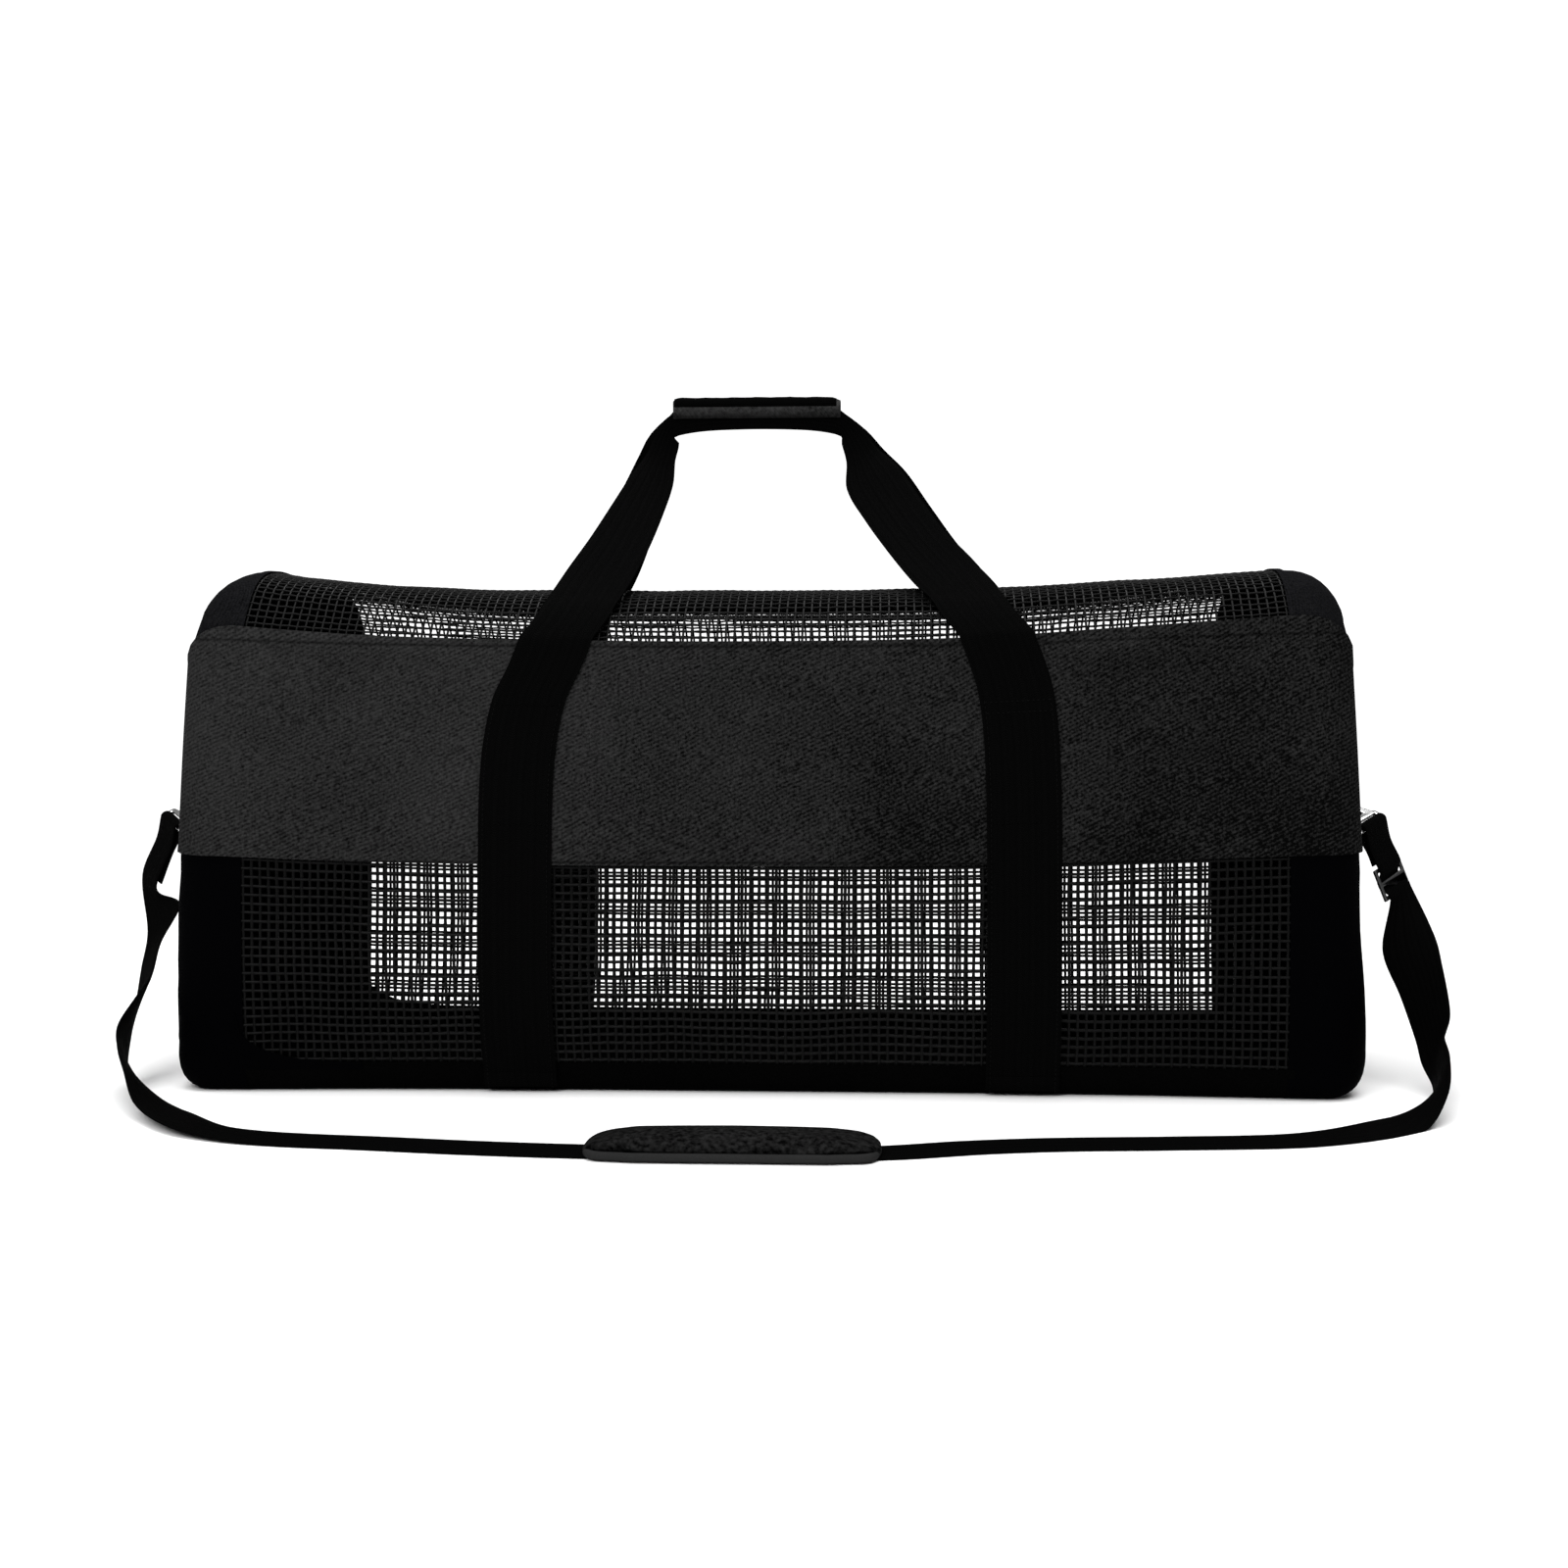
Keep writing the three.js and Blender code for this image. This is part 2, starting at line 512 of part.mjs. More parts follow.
// Handle: stitched webbing up the wall, over the shoulder, folded through the grip and down again
const HANDLE_OFFSET = BAND_OUTER + CLEAR + WEBBING / 2;
const GRIP_CENTRE = GRIP_TOP - WRAP_THICK - CLEAR - FOLD_HEIGHT / 2;
const GRIP_ROOM = FOLD_THICK + CLEAR * 2;
const PLAIN_GAIN = 1.2;

function handleSide(front, end, foot, gripX) {
  const rows = [];
  const frontLean = end < 0 ? "left" : "right";
  const lean = front ? frontLean : "rear";
  const outerAt = (x, level) => {
    const across = front ? level : 6 - level;
    const along = x / WRAP_START;
    return { point: skin(along, across), normal: skinNormal(along, across) };
  };
  let lift = null;
  for (const level of handleLevels) {
    const x = mix(foot, gripX, readRow(leanRows, level, lean));
    const edges = [-1, 1].map((side) => {
      const { point, normal } = outerAt(x + side * HANDLE_WIDTH / 2, level);
      return point.addScaledVector(normal, HANDLE_OFFSET);
    });
    lift = { low: edges[0], high: edges[1], face: outerAt(x, level).normal, thick: WEBBING };
    rows.push(lift);
  }
  const start = lift.low.clone().add(lift.high).multiplyScalar(0.5);
  const sideY = front ? -1 : 1;
  const gripEnd = vec(gripX, sideY * GRIP_ROOM / 2, GRIP_CENTRE - gripRows[0].drop * FOLD_HEIGHT);
  const path = [start, ...freeRows.map(({ up, run, back }) => vec(
    mix(start.x, gripEnd.x, run),
    mix(start.y, gripEnd.y, back),
    mix(start.z, gripEnd.z, up),
  )), gripEnd];
  const plain = vec(0, sideY, 0);
  freeRows.forEach((row, k) => {
    const heading = path[k + 2].clone().sub(path[k]).normalize();
    const face = lift.face.clone().lerp(plain, Math.min(1, row.back * PLAIN_GAIN)).normalize();
    const fold = end < 0 ? row.left : row.right;
    const width = mix(HANDLE_WIDTH, FOLD_HEIGHT, fold);
    const thick = mix(WEBBING, FOLD_THICK, fold);
    const station = flatStation(path[k + 1], heading, face, width, thick);
    const flip = station.high.x < station.low.x;
    rows.push(flip ? { ...station, low: station.high, high: station.low } : station);
  });
  return rows;
}

function handle(front, leftFoot, rightFoot) {
  const leftEnd = GRIP_SHIFT - GRIP_LENGTH / 2;
  const rightEnd = GRIP_SHIFT + GRIP_LENGTH / 2;
  const left = handleSide(front, -1, leftFoot, leftEnd);
  const right = handleSide(front, 1, rightFoot, rightEnd);
  const sideY = front ? -1 : 1;
  const face = vec(0, sideY, 0);
  const middle = gripRows.map(({ at, drop }) => {
    const x = mix(leftEnd, rightEnd, at);
    const point = vec(x, sideY * GRIP_ROOM / 2, GRIP_CENTRE - drop * FOLD_HEIGHT);
    const half = vec(0, 0, FOLD_HEIGHT / 2);
    return { low: point.clone().add(half), high: point.clone().sub(half), face, thick: FOLD_THICK };
  });
  const down = right.reverse().map((row) => ({ ...row, low: row.high, high: row.low }));
  return ribbon([...left, ...middle, ...down]);
}
add("front_handle", handle(true, FRONT_LEFT, FRONT_RIGHT), webbingFinish);
add("rear_handle", handle(false, REAR_LEFT, REAR_RIGHT), webbingFinish);

// Handle wrap: folded over both handles, open below
function wrapShape() {
  const inside = GRIP_ROOM + CLEAR;
  const outside = inside + WRAP_THICK;
  const shape = new THREE.Shape();
  shape.moveTo(-outside, GRIP_TOP - WRAP_DROP);
  shape.lineTo(-outside, GRIP_TOP - WRAP_THICK);
  shape.quadraticCurveTo(-outside, GRIP_TOP, -outside + WRAP_THICK, GRIP_TOP);
  shape.lineTo(outside - WRAP_THICK, GRIP_TOP);
  shape.quadraticCurveTo(outside, GRIP_TOP, outside, GRIP_TOP - WRAP_THICK);
  shape.lineTo(outside, GRIP_TOP - WRAP_DROP);
  shape.lineTo(inside, GRIP_TOP - WRAP_DROP);
  shape.lineTo(inside, GRIP_TOP - WRAP_THICK);
  shape.lineTo(-inside, GRIP_TOP - WRAP_THICK);
  shape.lineTo(-inside, GRIP_TOP - WRAP_DROP);
  return shape;
}
const wrapCut = { depth: GRIP_LENGTH, bevelEnabled: false, curveSegments: 4 };
const wrapBody = new THREE.ExtrudeGeometry(wrapShape(), wrapCut);
wrapBody.rotateX(Math.PI / 2);
wrapBody.rotateZ(Math.PI / 2);
wrapBody.translate(GRIP_SHIFT - GRIP_LENGTH / 2, 0, 0);
add("handle_wrap", wrapBody, webbingFinish);

// Rings: a slotted eye for the strap with a narrower bow above it for the tab
const SLOT_WIDTH = STRAP_WIDTH + 2;
const BOW_WIDTH = TAB_WIDTH + 1;

function ringFrame(end, standoff) {
  const bar = atEnd(end, RING_BAR).normalize();
  const centre = vec(end * (wallX(RING_HEIGHT) + standoff), -RING_AHEAD, RING_HEIGHT);
  const rise = atEnd(end, RING_WAY);
  rise.addScaledVector(bar, -rise.dot(bar)).normalize();
  return { end, bar, centre, rise };
}

function rectanglePath(half, low, high) {
  const path = new THREE.Path();
  path.moveTo(-half, low);
  path.lineTo(half, low);
  path.lineTo(half, high);
  path.lineTo(-half, high);
  return path;
}

function ringShape() {
  const half = RING_WIRE / 2;
  const eye = SLOT_WIDTH / 2 + RING_WIRE;
  const eyeTop = half + RING_SLOT + RING_WIRE;
  const bow = BOW_WIDTH / 2 + RING_WIRE;
  const top = RING_RISE + half;
  const shape = new THREE.Shape();
  shape.moveTo(-eye + half, -half);
  shape.lineTo(eye - half, -half);
  shape.lineTo(eye, half / 2);
  shape.lineTo(eye, eyeTop - half);
  shape.lineTo(eye - half, eyeTop - half / 2);
  shape.lineTo(bow, eyeTop);
  shape.lineTo(bow, top - half);
  shape.lineTo(bow - half, top);
  shape.lineTo(-bow + half, top);
  shape.lineTo(-bow, top - half);
  shape.lineTo(-bow, eyeTop);
  shape.lineTo(-eye + half, eyeTop - half / 2);
  shape.lineTo(-eye, eyeTop - half);
  shape.lineTo(-eye, half / 2);
  shape.holes.push(rectanglePath(SLOT_WIDTH / 2, half, half + RING_SLOT));
  shape.holes.push(rectanglePath(BOW_WIDTH / 2, eyeTop + half / 2, RING_RISE - half));
  return shape;
}

// Flat metal plate of a shape drawn along two directions, its middle plane through a point
function plate(shape, thick, point, right, up) {
  const geometry = new THREE.ExtrudeGeometry(shape, { depth: thick, bevelEnabled: false });
  geometry.translate(0, 0, -thick / 2);
  const through = right.clone().cross(up).normalize();
  geometry.applyMatrix4(new THREE.Matrix4().makeBasis(right, up, through).setPosition(point));
  return geometry;
}

const rings = [ringFrame(-1, LEFT_STANDOFF), ringFrame(1, RIGHT_STANDOFF)];
rings.forEach(({ bar, centre, rise }, k) => {
  const name = ["strap_ring_left", "strap_ring_right"][k];
  add(name, plate(ringShape(), RING_WIRE, centre, bar, rise), metalFinish);
});

// Webbing turned round a bar: stations from the side that faces "outer" to the other side
const TURN_RADIUS = RING_WIRE * Math.SQRT1_2 + CLEAR + WEBBING / 2;

function turnStations(centre, bar, ahead, outer, width) {
  return cuts(0, Math.PI, 6).map((angle) => {
    const spoke = outer.clone().multiplyScalar(Math.cos(angle));
    spoke.addScaledVector(ahead, Math.sin(angle)).normalize();
    const point = centre.clone().addScaledVector(spoke, TURN_RADIUS);
    return {
      low: point.clone().addScaledVector(bar, -width / 2),
      high: point.clone().addScaledVector(bar, width / 2),
      face: spoke,
      thick: WEBBING,
    };
  });
}

// Tabs: webbing folded round the narrow side of the ring, both layers stitched to the end wall
function ringTab({ end, bar, centre, rise }) {
  const hold = centre.clone().addScaledVector(rise, RING_RISE);
  const layers = [CLEAR + WEBBING / 2, 2 * CLEAR + WEBBING * 1.5];
  const sewn = [hold.z + TAB_TOP, hold.z + TAB_FOOT];
  const spanY = bar.y < 0 ? -1 : 1;
  const flat = (z, layer) => {
    const x = end * (wallX(z) + END_BULGE + layers[layer]);
    const side = layer === 0 ? -1 : 1;
    return {
      low: vec(x, hold.y - spanY * TAB_WIDTH / 2, z),
      high: vec(x, hold.y + spanY * TAB_WIDTH / 2, z),
      face: vec(end * side, 0, 0),
      thick: WEBBING,
    };
  };
  const toWall = vec(end * (wallX(sewn[1]) + END_BULGE), hold.y, sewn[1]).sub(hold).normalize();
  const ahead = toWall.clone().negate();
  ahead.addScaledVector(bar, -ahead.dot(bar)).normalize();
  const outer = bar.clone().cross(ahead).normalize();
  const under = outer.x * end < 0 ? outer : outer.negate();
  const turn = turnStations(hold, bar, ahead, under, TAB_WIDTH);
  return ribbon([flat(sewn[0], 0), flat(sewn[1], 0), ...turn, flat(sewn[1], 1), flat(sewn[0], 1)]);
}
rings.forEach((frame, k) => add(["ring_tab_left", "ring_tab_right"][k], ringTab(frame), webbingFinish));

// Shoulder strap: round each ring's bar, stitched back on itself, down to the floor and under the pad
function strapFrame({ end, bar, centre }) {
  const down = atEnd(end, STRAP_WAY);
  down.addScaledVector(bar, -down.dot(bar)).normalize();
  const outer = bar.clone().cross(down).normalize();
  if (outer.y > 0) outer.negate();
  const edge = outer.clone().cross(down).normalize();
  return { centre, down, outer, edge };
}

const LAP = WEBBING / 2 + CLEAR;
const TURN_END = 16;

function strapTop({ centre, down, outer, edge }, tailLength, steps) {
  const at = (along, out, face) => {
    const point = centre.clone().addScaledVector(down, along).addScaledVector(outer, out);
    return {
      low: point.clone().addScaledVector(edge, -STRAP_WIDTH / 2),
      high: point.clone().addScaledVector(edge, STRAP_WIDTH / 2),
      face,
      thick: WEBBING,
    };
  };
  const inner = outer.clone().negate();
  const tail = [at(tailLength, -LAP, inner), at(TURN_END, -LAP, inner)];
  const turn = turnStations(centre, edge, down.clone().negate(), inner, STRAP_WIDTH);
  const main = steps.map(([along, out]) => at(along, out, outer));
  return [...tail, ...turn, ...main];
}

// A station lifted until its lowest corner is on the floor
function onFloor(station) {
  const corners = [station.low, station.high].flatMap((point) => [-1, 1].map((side) => (
    point.z + side * station.face.z * station.thick / 2)));
  const lift = Math.max(0, -Math.min(...corners));
  station.low.z += lift;
  station.high.z += lift;
  return station;
}

function middleOf(station) {
  return station.low.clone().add(station.high).multiplyScalar(0.5);
}

function strapRun(rows, end, before) {
  const points = rows.map(({ out, ahead, up }) => (
    vec(end * out * STRAP_SPREAD, -ahead * STRAP_REACH, up * RING_HEIGHT)));
  const path = [before, ...points];
  return rows.map((row, k) => {
    const heading = path[Math.min(k + 2, rows.length)].clone().sub(path[k]).normalize();
    const station = flatStation(points[k], heading, vec(...row.face).normalize(), STRAP_WIDTH, WEBBING);
    return onFloor(station);
  });
}

// Slider bars stand across the strap, which weaves over the outer ones and under the middle one
const SLIDER_WEAVE = SLIDER_PLATE / 2 + CLEAR + WEBBING / 2;
const SLIDER_SLOT = (SLIDER_FRAME - 3 * SLIDER_BAR) / 2;
const sliderMiddle = SLIDER_DROP + SLIDER_FRAME / 2;
const sliderEase = SLIDER_BAR / 2 + CLEAR * 2;
const rightSteps = [
  [TURN_END, LAP],
  [SLIDER_DROP - CLEAR, SLIDER_WEAVE],
  [SLIDER_DROP + SLIDER_BAR + CLEAR * 2, SLIDER_WEAVE],
  [sliderMiddle - sliderEase, -SLIDER_WEAVE],
  [sliderMiddle + sliderEase, -SLIDER_WEAVE],
  [SLIDER_DROP + SLIDER_FRAME - SLIDER_BAR - CLEAR * 2, SLIDER_WEAVE],
  [SLIDER_DROP + SLIDER_FRAME + CLEAR, SLIDER_WEAVE],
];
const leftSteps = [[TURN_END, LAP], [LOOP_OPEN, LAP]];

function shoulderStrap() {
  const leftTop = strapTop(strapFrame(rings[0]), LOOP_SEWN, leftSteps);
  const rightTop = strapTop(strapFrame(rings[1]), TAIL_LENGTH, rightSteps);
  const left = strapRun(leftStrapRows, -1, middleOf(leftTop[leftTop.length - 1]));
  const right = strapRun(rightStrapRows, 1, middleOf(rightTop[rightTop.length - 1]));
  const back = [...rightTop, ...right].reverse().map((row) => ({ ...row, face: row.face.clone().negate() }));
  return ribbon([...leftTop, ...left, ...back]);
}
add("shoulder_strap", shoulderStrap(), webbingFinish);

function sliderShape() {
  const half = SLOT_WIDTH / 2 + SLIDER_BAR;
  const shape = new THREE.Shape();
  shape.moveTo(-half, 0);
  shape.lineTo(half, 0);
  shape.lineTo(half, SLIDER_FRAME);
  shape.lineTo(-half, SLIDER_FRAME);
  shape.holes.push(rectanglePath(SLOT_WIDTH / 2, SLIDER_BAR, SLIDER_BAR + SLIDER_SLOT));
  shape.holes.push(rectanglePath(SLOT_WIDTH / 2, SLIDER_BAR * 2 + SLIDER_SLOT, SLIDER_FRAME - SLIDER_BAR));
  return shape;
}
const rightFrame = strapFrame(rings[1]);
const sliderStart = rightFrame.centre.clone().addScaledVector(rightFrame.down, SLIDER_DROP);
const sliderPlate = plate(sliderShape(), SLIDER_PLATE, sliderStart, rightFrame.edge, rightFrame.down);
add("strap_slider", sliderPlate, metalFinish);

// Shoulder pad: rounded rings along its length, lying on the strap
function padSolid() {
  const sides = 14;
  const low = WEBBING + CLEAR;
  const middleY = -leftStrapRows[leftStrapRows.length - 1].ahead * STRAP_REACH;
  const ringAt = ({ at, half, thick }) => Array.from({ length: sides }, (_, n) => {
    const angle = (n + 0.5) * 2 * Math.PI / sides;
    const round = (value) => Math.sign(value) * Math.abs(value) ** PAD_SQUARE;
    const y = round(Math.cos(angle)) * half * PAD_WIDTH / 2;
    const z = low + (1 + round(Math.sin(angle))) * thick * PAD_THICK / 2;
    return vec(PAD_SHIFT + at * PAD_LENGTH, middleY + y, z);
  });
  const loops = padRows.map(ringAt);
  const triangles = [];
  loops.slice(1).forEach((loop, k) => {
    for (let n = 0; n < sides; n += 1) {
      const m = (n + 1) % sides;
      triangles.push([loops[k][n], loops[k][m], loop[m]], [loops[k][n], loop[m], loop[n]]);
    }
  });
  for (let n = 1; n < sides - 1; n += 1) {
    triangles.push([loops[0][0], loops[0][n + 1], loops[0][n]]);
    const last = loops[loops.length - 1];
    triangles.push([last[0], last[n], last[n + 1]]);
  }
  return solid(triangles);
}
add("shoulder_pad", padSolid(), padFinish);

export default bag;
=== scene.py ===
import math
import bmesh
import bpy
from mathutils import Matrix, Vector, noise


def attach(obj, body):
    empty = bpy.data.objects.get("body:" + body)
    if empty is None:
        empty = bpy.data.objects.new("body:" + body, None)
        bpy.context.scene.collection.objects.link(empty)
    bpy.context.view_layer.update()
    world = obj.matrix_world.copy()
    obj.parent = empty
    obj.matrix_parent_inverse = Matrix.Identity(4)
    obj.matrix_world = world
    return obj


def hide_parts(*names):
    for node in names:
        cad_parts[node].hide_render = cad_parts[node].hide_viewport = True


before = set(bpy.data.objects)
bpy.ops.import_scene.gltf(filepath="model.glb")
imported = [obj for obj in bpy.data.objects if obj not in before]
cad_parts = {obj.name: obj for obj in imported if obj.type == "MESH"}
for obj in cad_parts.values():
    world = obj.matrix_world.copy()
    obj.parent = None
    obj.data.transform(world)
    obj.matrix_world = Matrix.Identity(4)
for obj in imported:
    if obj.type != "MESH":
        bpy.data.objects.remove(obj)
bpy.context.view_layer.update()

# Sizes of the bag in millimetres; meshes are made in metres
MM = 0.001
BASE_LENGTH = 824
TOP_LENGTH = 799
DEPTH = 352
SEAM_HEIGHT = 325
CROWN_HEIGHT = 367
FOOT_HEIGHT = 16
FOOT_TUCK = 12
TUCK_FADE = 0.25
BAND_FOOT = 157
ZIP_SAG = 15
CAP_WRAP = 53
WRAP_LEAST = 2
SIDE_CORNER = 38
TOP_CORNER = 40
FOOT_CORNER = 24
END_BULGE = 5
WEBBING = 2
CLEAR = 0.3
NET_TUCK = 10
TAPE_WIDTH = 22
CHAIN_WIDTH = 8
HANDLE_WIDTH = 50
FRONT_FEET = (-165, 178)
REAR_FEET = (-186, 190)
GRIP_TOP = 499.5
GRIP_LENGTH = 126
GRIP_SHIFT = -13
WRAP_THICK = 3
WRAP_DROP = 15
FOLD_HEIGHT = 19
FOLD_THICK = 3.6
STRAP_WIDTH = 38
STRAP_REACH = 341
STRAP_SPREAD = 447
RING_HEIGHT = 180
RING_AHEAD = 17
RING_WIRE = 4
RING_RISE = 26
TAB_WIDTH = 19
TAB_FOOT = 20
TAB_TOP = 54
LOOP_SEWN = 44
LOOP_OPEN = 48
TAIL_LENGTH = 27
SLIDER_DROP = 30
SLIDER_FRAME = 24
SLIDER_BAR = 3
SLIDER_PLATE = 2.4
STANDOFFS = (50, 35)
RING_BAR = (0.55, 0.8, 0.22)
RING_WAY = (-0.72, 0.5, 0.48)
STRAP_WAY = (0.13, -0.3, -0.95)
PAD_THICK = 12
PAD_AHEAD = 375

# Fine detail in millimetres
NET_PITCH = 5.8
STRAND_RADIUS = 1.11
TOP_STRAND_RADIUS = 0.82
STITCH_PITCH = 3.4

# Pitch in metres of the threads and of the slanting ribs woven into the band
THREAD_PITCH = 0.0011
RIB_PITCH = 0.0026


def table(names, *rows):
    keys = names.split()
    return [dict(zip(keys, row)) for row in rows]


STATIONS = table(
    "at seam crown sag tuck",
    (-1.0, 0.988, 0.994, 0.15, 0.0),
    (-0.9, 0.986, 0.994, 0.2, 0.0),
    (-0.78, 0.974, 0.984, 0.4, 0.3),
    (-0.62, 0.961, 0.965, 0.8, 0.7),
    (-0.33, 0.951, 0.957, 1.0, 0.95),
    (0.0, 0.948, 0.956, 1.0, 1.0),
    (0.33, 0.954, 0.959, 1.0, 0.95),
    (0.62, 0.977, 0.972, 0.7, 0.7),
    (0.78, 0.991, 0.985, 0.35, 0.3),
    (0.9, 1.0, 0.988, 0.15, 0.0),
    (1.0, 1.0, 0.988, 0.1, 0.0),
)
WALL_ROWS = table(
    "at out",
    (0.0, 0.955),
    (0.12, 0.985),
    (0.3, 1.0),
    (0.5, 1.0),
    (0.76, 0.985),
    (1.0, 0.955),
)
TOP_ROWS = table(
    "at out rise dip",
    (0.0, 1.0, 0.0, 0.0),
    (0.1, 0.93, 0.34, 0.0),
    (0.2, 0.84, 0.66, 0.0),
    (0.34, 0.7, 0.89, 0.0),
    (0.52, 0.5, 1.0, 0.0),
    (0.76, 0.25, 1.0, 0.02),
    (0.87, 0.13, 1.0, 0.25),
    (1.0, 0.0, 1.0, 1.0),
)
LEAN_ROWS = table(
    "at left right rear",
    (0.8, 0.0, 0.0, 0.0),
    (1.5, 0.0, 0.0, 0.0),
    (1.72, 0.02, 0.01, 0.0),
    (1.86, 0.1, 0.04, 0.02),
    (1.94, 0.22, 0.09, 0.04),
    (2.02, 0.32, 0.16, 0.07),
    (2.1, 0.4, 0.23, 0.11),
    (2.2, 0.47, 0.3, 0.15),
)
FREE_ROWS = table(
    "up run back left right",
    (0.13, 0.16, 0.17, 0.06, 0.06),
    (0.3, 0.37, 0.37, 0.2, 0.2),
    (0.5, 0.57, 0.6, 0.38, 0.22),
    (0.68, 0.73, 0.8, 0.58, 0.28),
    (0.82, 0.82, 0.95, 0.9, 0.8),
    (0.92, 0.9, 1.0, 1.0, 1.0),
)
GRIP_ROWS = table(
    "at drop",
    (0.0, 0.3),
    (0.07, 0.16),
    (0.2, 0.05),
    (0.4, 0.0),
    (0.6, 0.0),
    (0.8, 0.05),
    (0.93, 0.16),
    (1.0, 0.3),
)
LEFT_STRAP = table(
    "out ahead up face",
    (1.016, 0.129, 0.611, (-0.62, -0.65, 0.44)),
    (1.02, 0.194, 0.467, (-0.81, -0.43, 0.39)),
    (1.013, 0.27, 0.328, (-0.87, -0.36, 0.35)),
    (1.011, 0.337, 0.244, (-0.95, -0.23, 0.2)),
    (0.998, 0.44, 0.15, (-0.95, -0.28, -0.15)),
    (0.953, 0.557, 0.1, (-0.81, -0.36, -0.47)),
    (0.895, 0.686, 0.069, (-0.61, -0.26, -0.74)),
    (0.841, 0.792, 0.028, (-0.27, -0.09, -0.96)),
    (0.756, 0.933, 0.017, (-0.11, -0.06, -0.99)),
    (0.682, 0.991, 0.008, (-0.04, -0.02, -1.0)),
    (0.6, 1.021, 0.006, (0.0, 0.0, -1.0)),
    (0.5, 1.04, 0.0, (0.0, 0.0, -1.0)),
    (0.35, 1.075, 0.0, (0.0, 0.0, -1.0)),
    (0.21, 1.096, 0.0, (0.0, 0.0, -1.0)),
    (0.1, 1.1, 0.0, (0.0, 0.0, -1.0)),
)
RIGHT_STRAP = table(
    "out ahead up face",
    (1.027, 0.167, 0.538, (-0.46, -0.68, 0.57)),
    (1.03, 0.267, 0.4, (-0.77, -0.4, 0.5)),
    (1.03, 0.358, 0.267, (-0.89, -0.22, 0.41)),
    (1.023, 0.422, 0.206, (-0.92, -0.02, 0.39)),
    (1.013, 0.499, 0.156, (-0.97, 0.17, 0.16)),
    (0.991, 0.622, 0.111, (-0.91, 0.25, 0.34)),
    (0.957, 0.698, 0.061, (-0.57, 0.11, 0.82)),
    (0.911, 0.765, 0.008, (-0.09, -0.08, 0.99)),
    (0.823, 0.871, 0.006, (0.0, 0.0, 1.0)),
    (0.734, 0.933, 0.006, (0.0, 0.0, 1.0)),
    (0.579, 0.965, 0.0, (0.0, 0.0, 1.0)),
    (0.42, 0.99, 0.0, (0.0, 0.0, 1.0)),
    (0.31, 1.025, 0.0, (0.0, 0.0, 1.0)),
    (0.2, 1.08, 0.0, (0.0, 0.0, 1.0)),
    (0.1, 1.1, 0.0, (0.0, 0.0, 1.0)),
)
# Folds in the bands as the front shows them: height is how far the cloth stands proud
BAND_FOLDS = table(
    "x0 z0 x1 z1 height spread",
    (200, 296, 262, 309, 5.4, 6),
    (262, 309, 345, 318, 4.2, 6),
    (205, 280, 330, 300, -4.8, 9),
    (-345, 300, -215, 291, -3.2, 8),
    (-330, 312, -205, 302, 3.5, 8),
    (-190, 250, -330, 205, 2.2, 12),
    (-110, 286, 90, 282, 1.9, 10),
    (215, 240, 350, 262, 2.1, 12),
    (124, 303, 148, 296, -3.2, 3.5),
    (128, 290, 150, 280, -2.9, 3.5),
    (136, 277, 152, 260, -2.4, 4),
    (-260, 296, -205, 290, 3.2, 14),
)


# The body's skin, as the solids have it
def mix(a, b, share):
    return a + (b - a) * share


def clamp(value, low, high):
    return max(low, min(high, value))


def read_row(rows, at, column):
    last = len(rows) - 1
    k = 0
    while k < last - 1 and at > rows[k + 1]["at"]:
        k += 1
    span = rows[k + 1]["at"] - rows[k]["at"]
    share = clamp((at - rows[k]["at"]) / span, 0, 1)
    before = rows[max(k - 1, 0)]
    after = rows[min(k + 2, last)]
    here = rows[k][column]
    there = rows[k + 1][column]
    slope_in = (there - before[column]) / (rows[k + 1]["at"] - before["at"])
    slope_out = (after[column] - here) / (after["at"] - rows[k]["at"])
    s2 = share * share
    s3 = s2 * share
    start = here * (2 * s3 - 3 * s2 + 1) + slope_in * ((s3 - 2 * s2 + share) * span)
    return start + there * (3 * s2 - 2 * s3) + slope_out * ((s3 - s2) * span)


def section(x, across):
    turn = 6 - across if across > 3 else across
    side = 1 if across > 3 else -1
    at = clamp(x / (BASE_LENGTH / 2), -1, 1)
    half = DEPTH / 2
    tuck = read_row(STATIONS, at, "tuck") * FOOT_TUCK
    foot = half * WALL_ROWS[0]["out"] - tuck
    if turn <= 0.5:
        return side * turn * 2 * (foot - FOOT_HEIGHT), 0.0
    if turn <= 1:
        angle = (turn - 0.5) * math.pi
        out = foot - FOOT_HEIGHT * (1 - math.sin(angle))
        return side * out, FOOT_HEIGHT * (1 - math.cos(angle))
    seam = read_row(STATIONS, at, "seam") * SEAM_HEIGHT
    if turn <= 2:
        share = turn - 1
        fade = max(0, 1 - share / TUCK_FADE)
        out = half * read_row(WALL_ROWS, share, "out") - tuck * fade * fade
        return side * out, mix(FOOT_HEIGHT, seam, share)
    share = turn - 2
    crown = read_row(STATIONS, at, "crown") * CROWN_HEIGHT
    sag = read_row(STATIONS, at, "sag") * ZIP_SAG
    rise = read_row(TOP_ROWS, share, "rise") * (crown - seam)
    dip = read_row(TOP_ROWS, share, "dip") * sag
    out = half * WALL_ROWS[-1]["out"] * read_row(TOP_ROWS, share, "out")
    return side * out, seam + rise - dip


WRAP_START = BASE_LENGTH / 2 - CAP_WRAP
WALL_CENTRE = CROWN_HEIGHT / 2


def wall_x(z):
    return mix(BASE_LENGTH, TOP_LENGTH, z / CROWN_HEIGHT) / 2


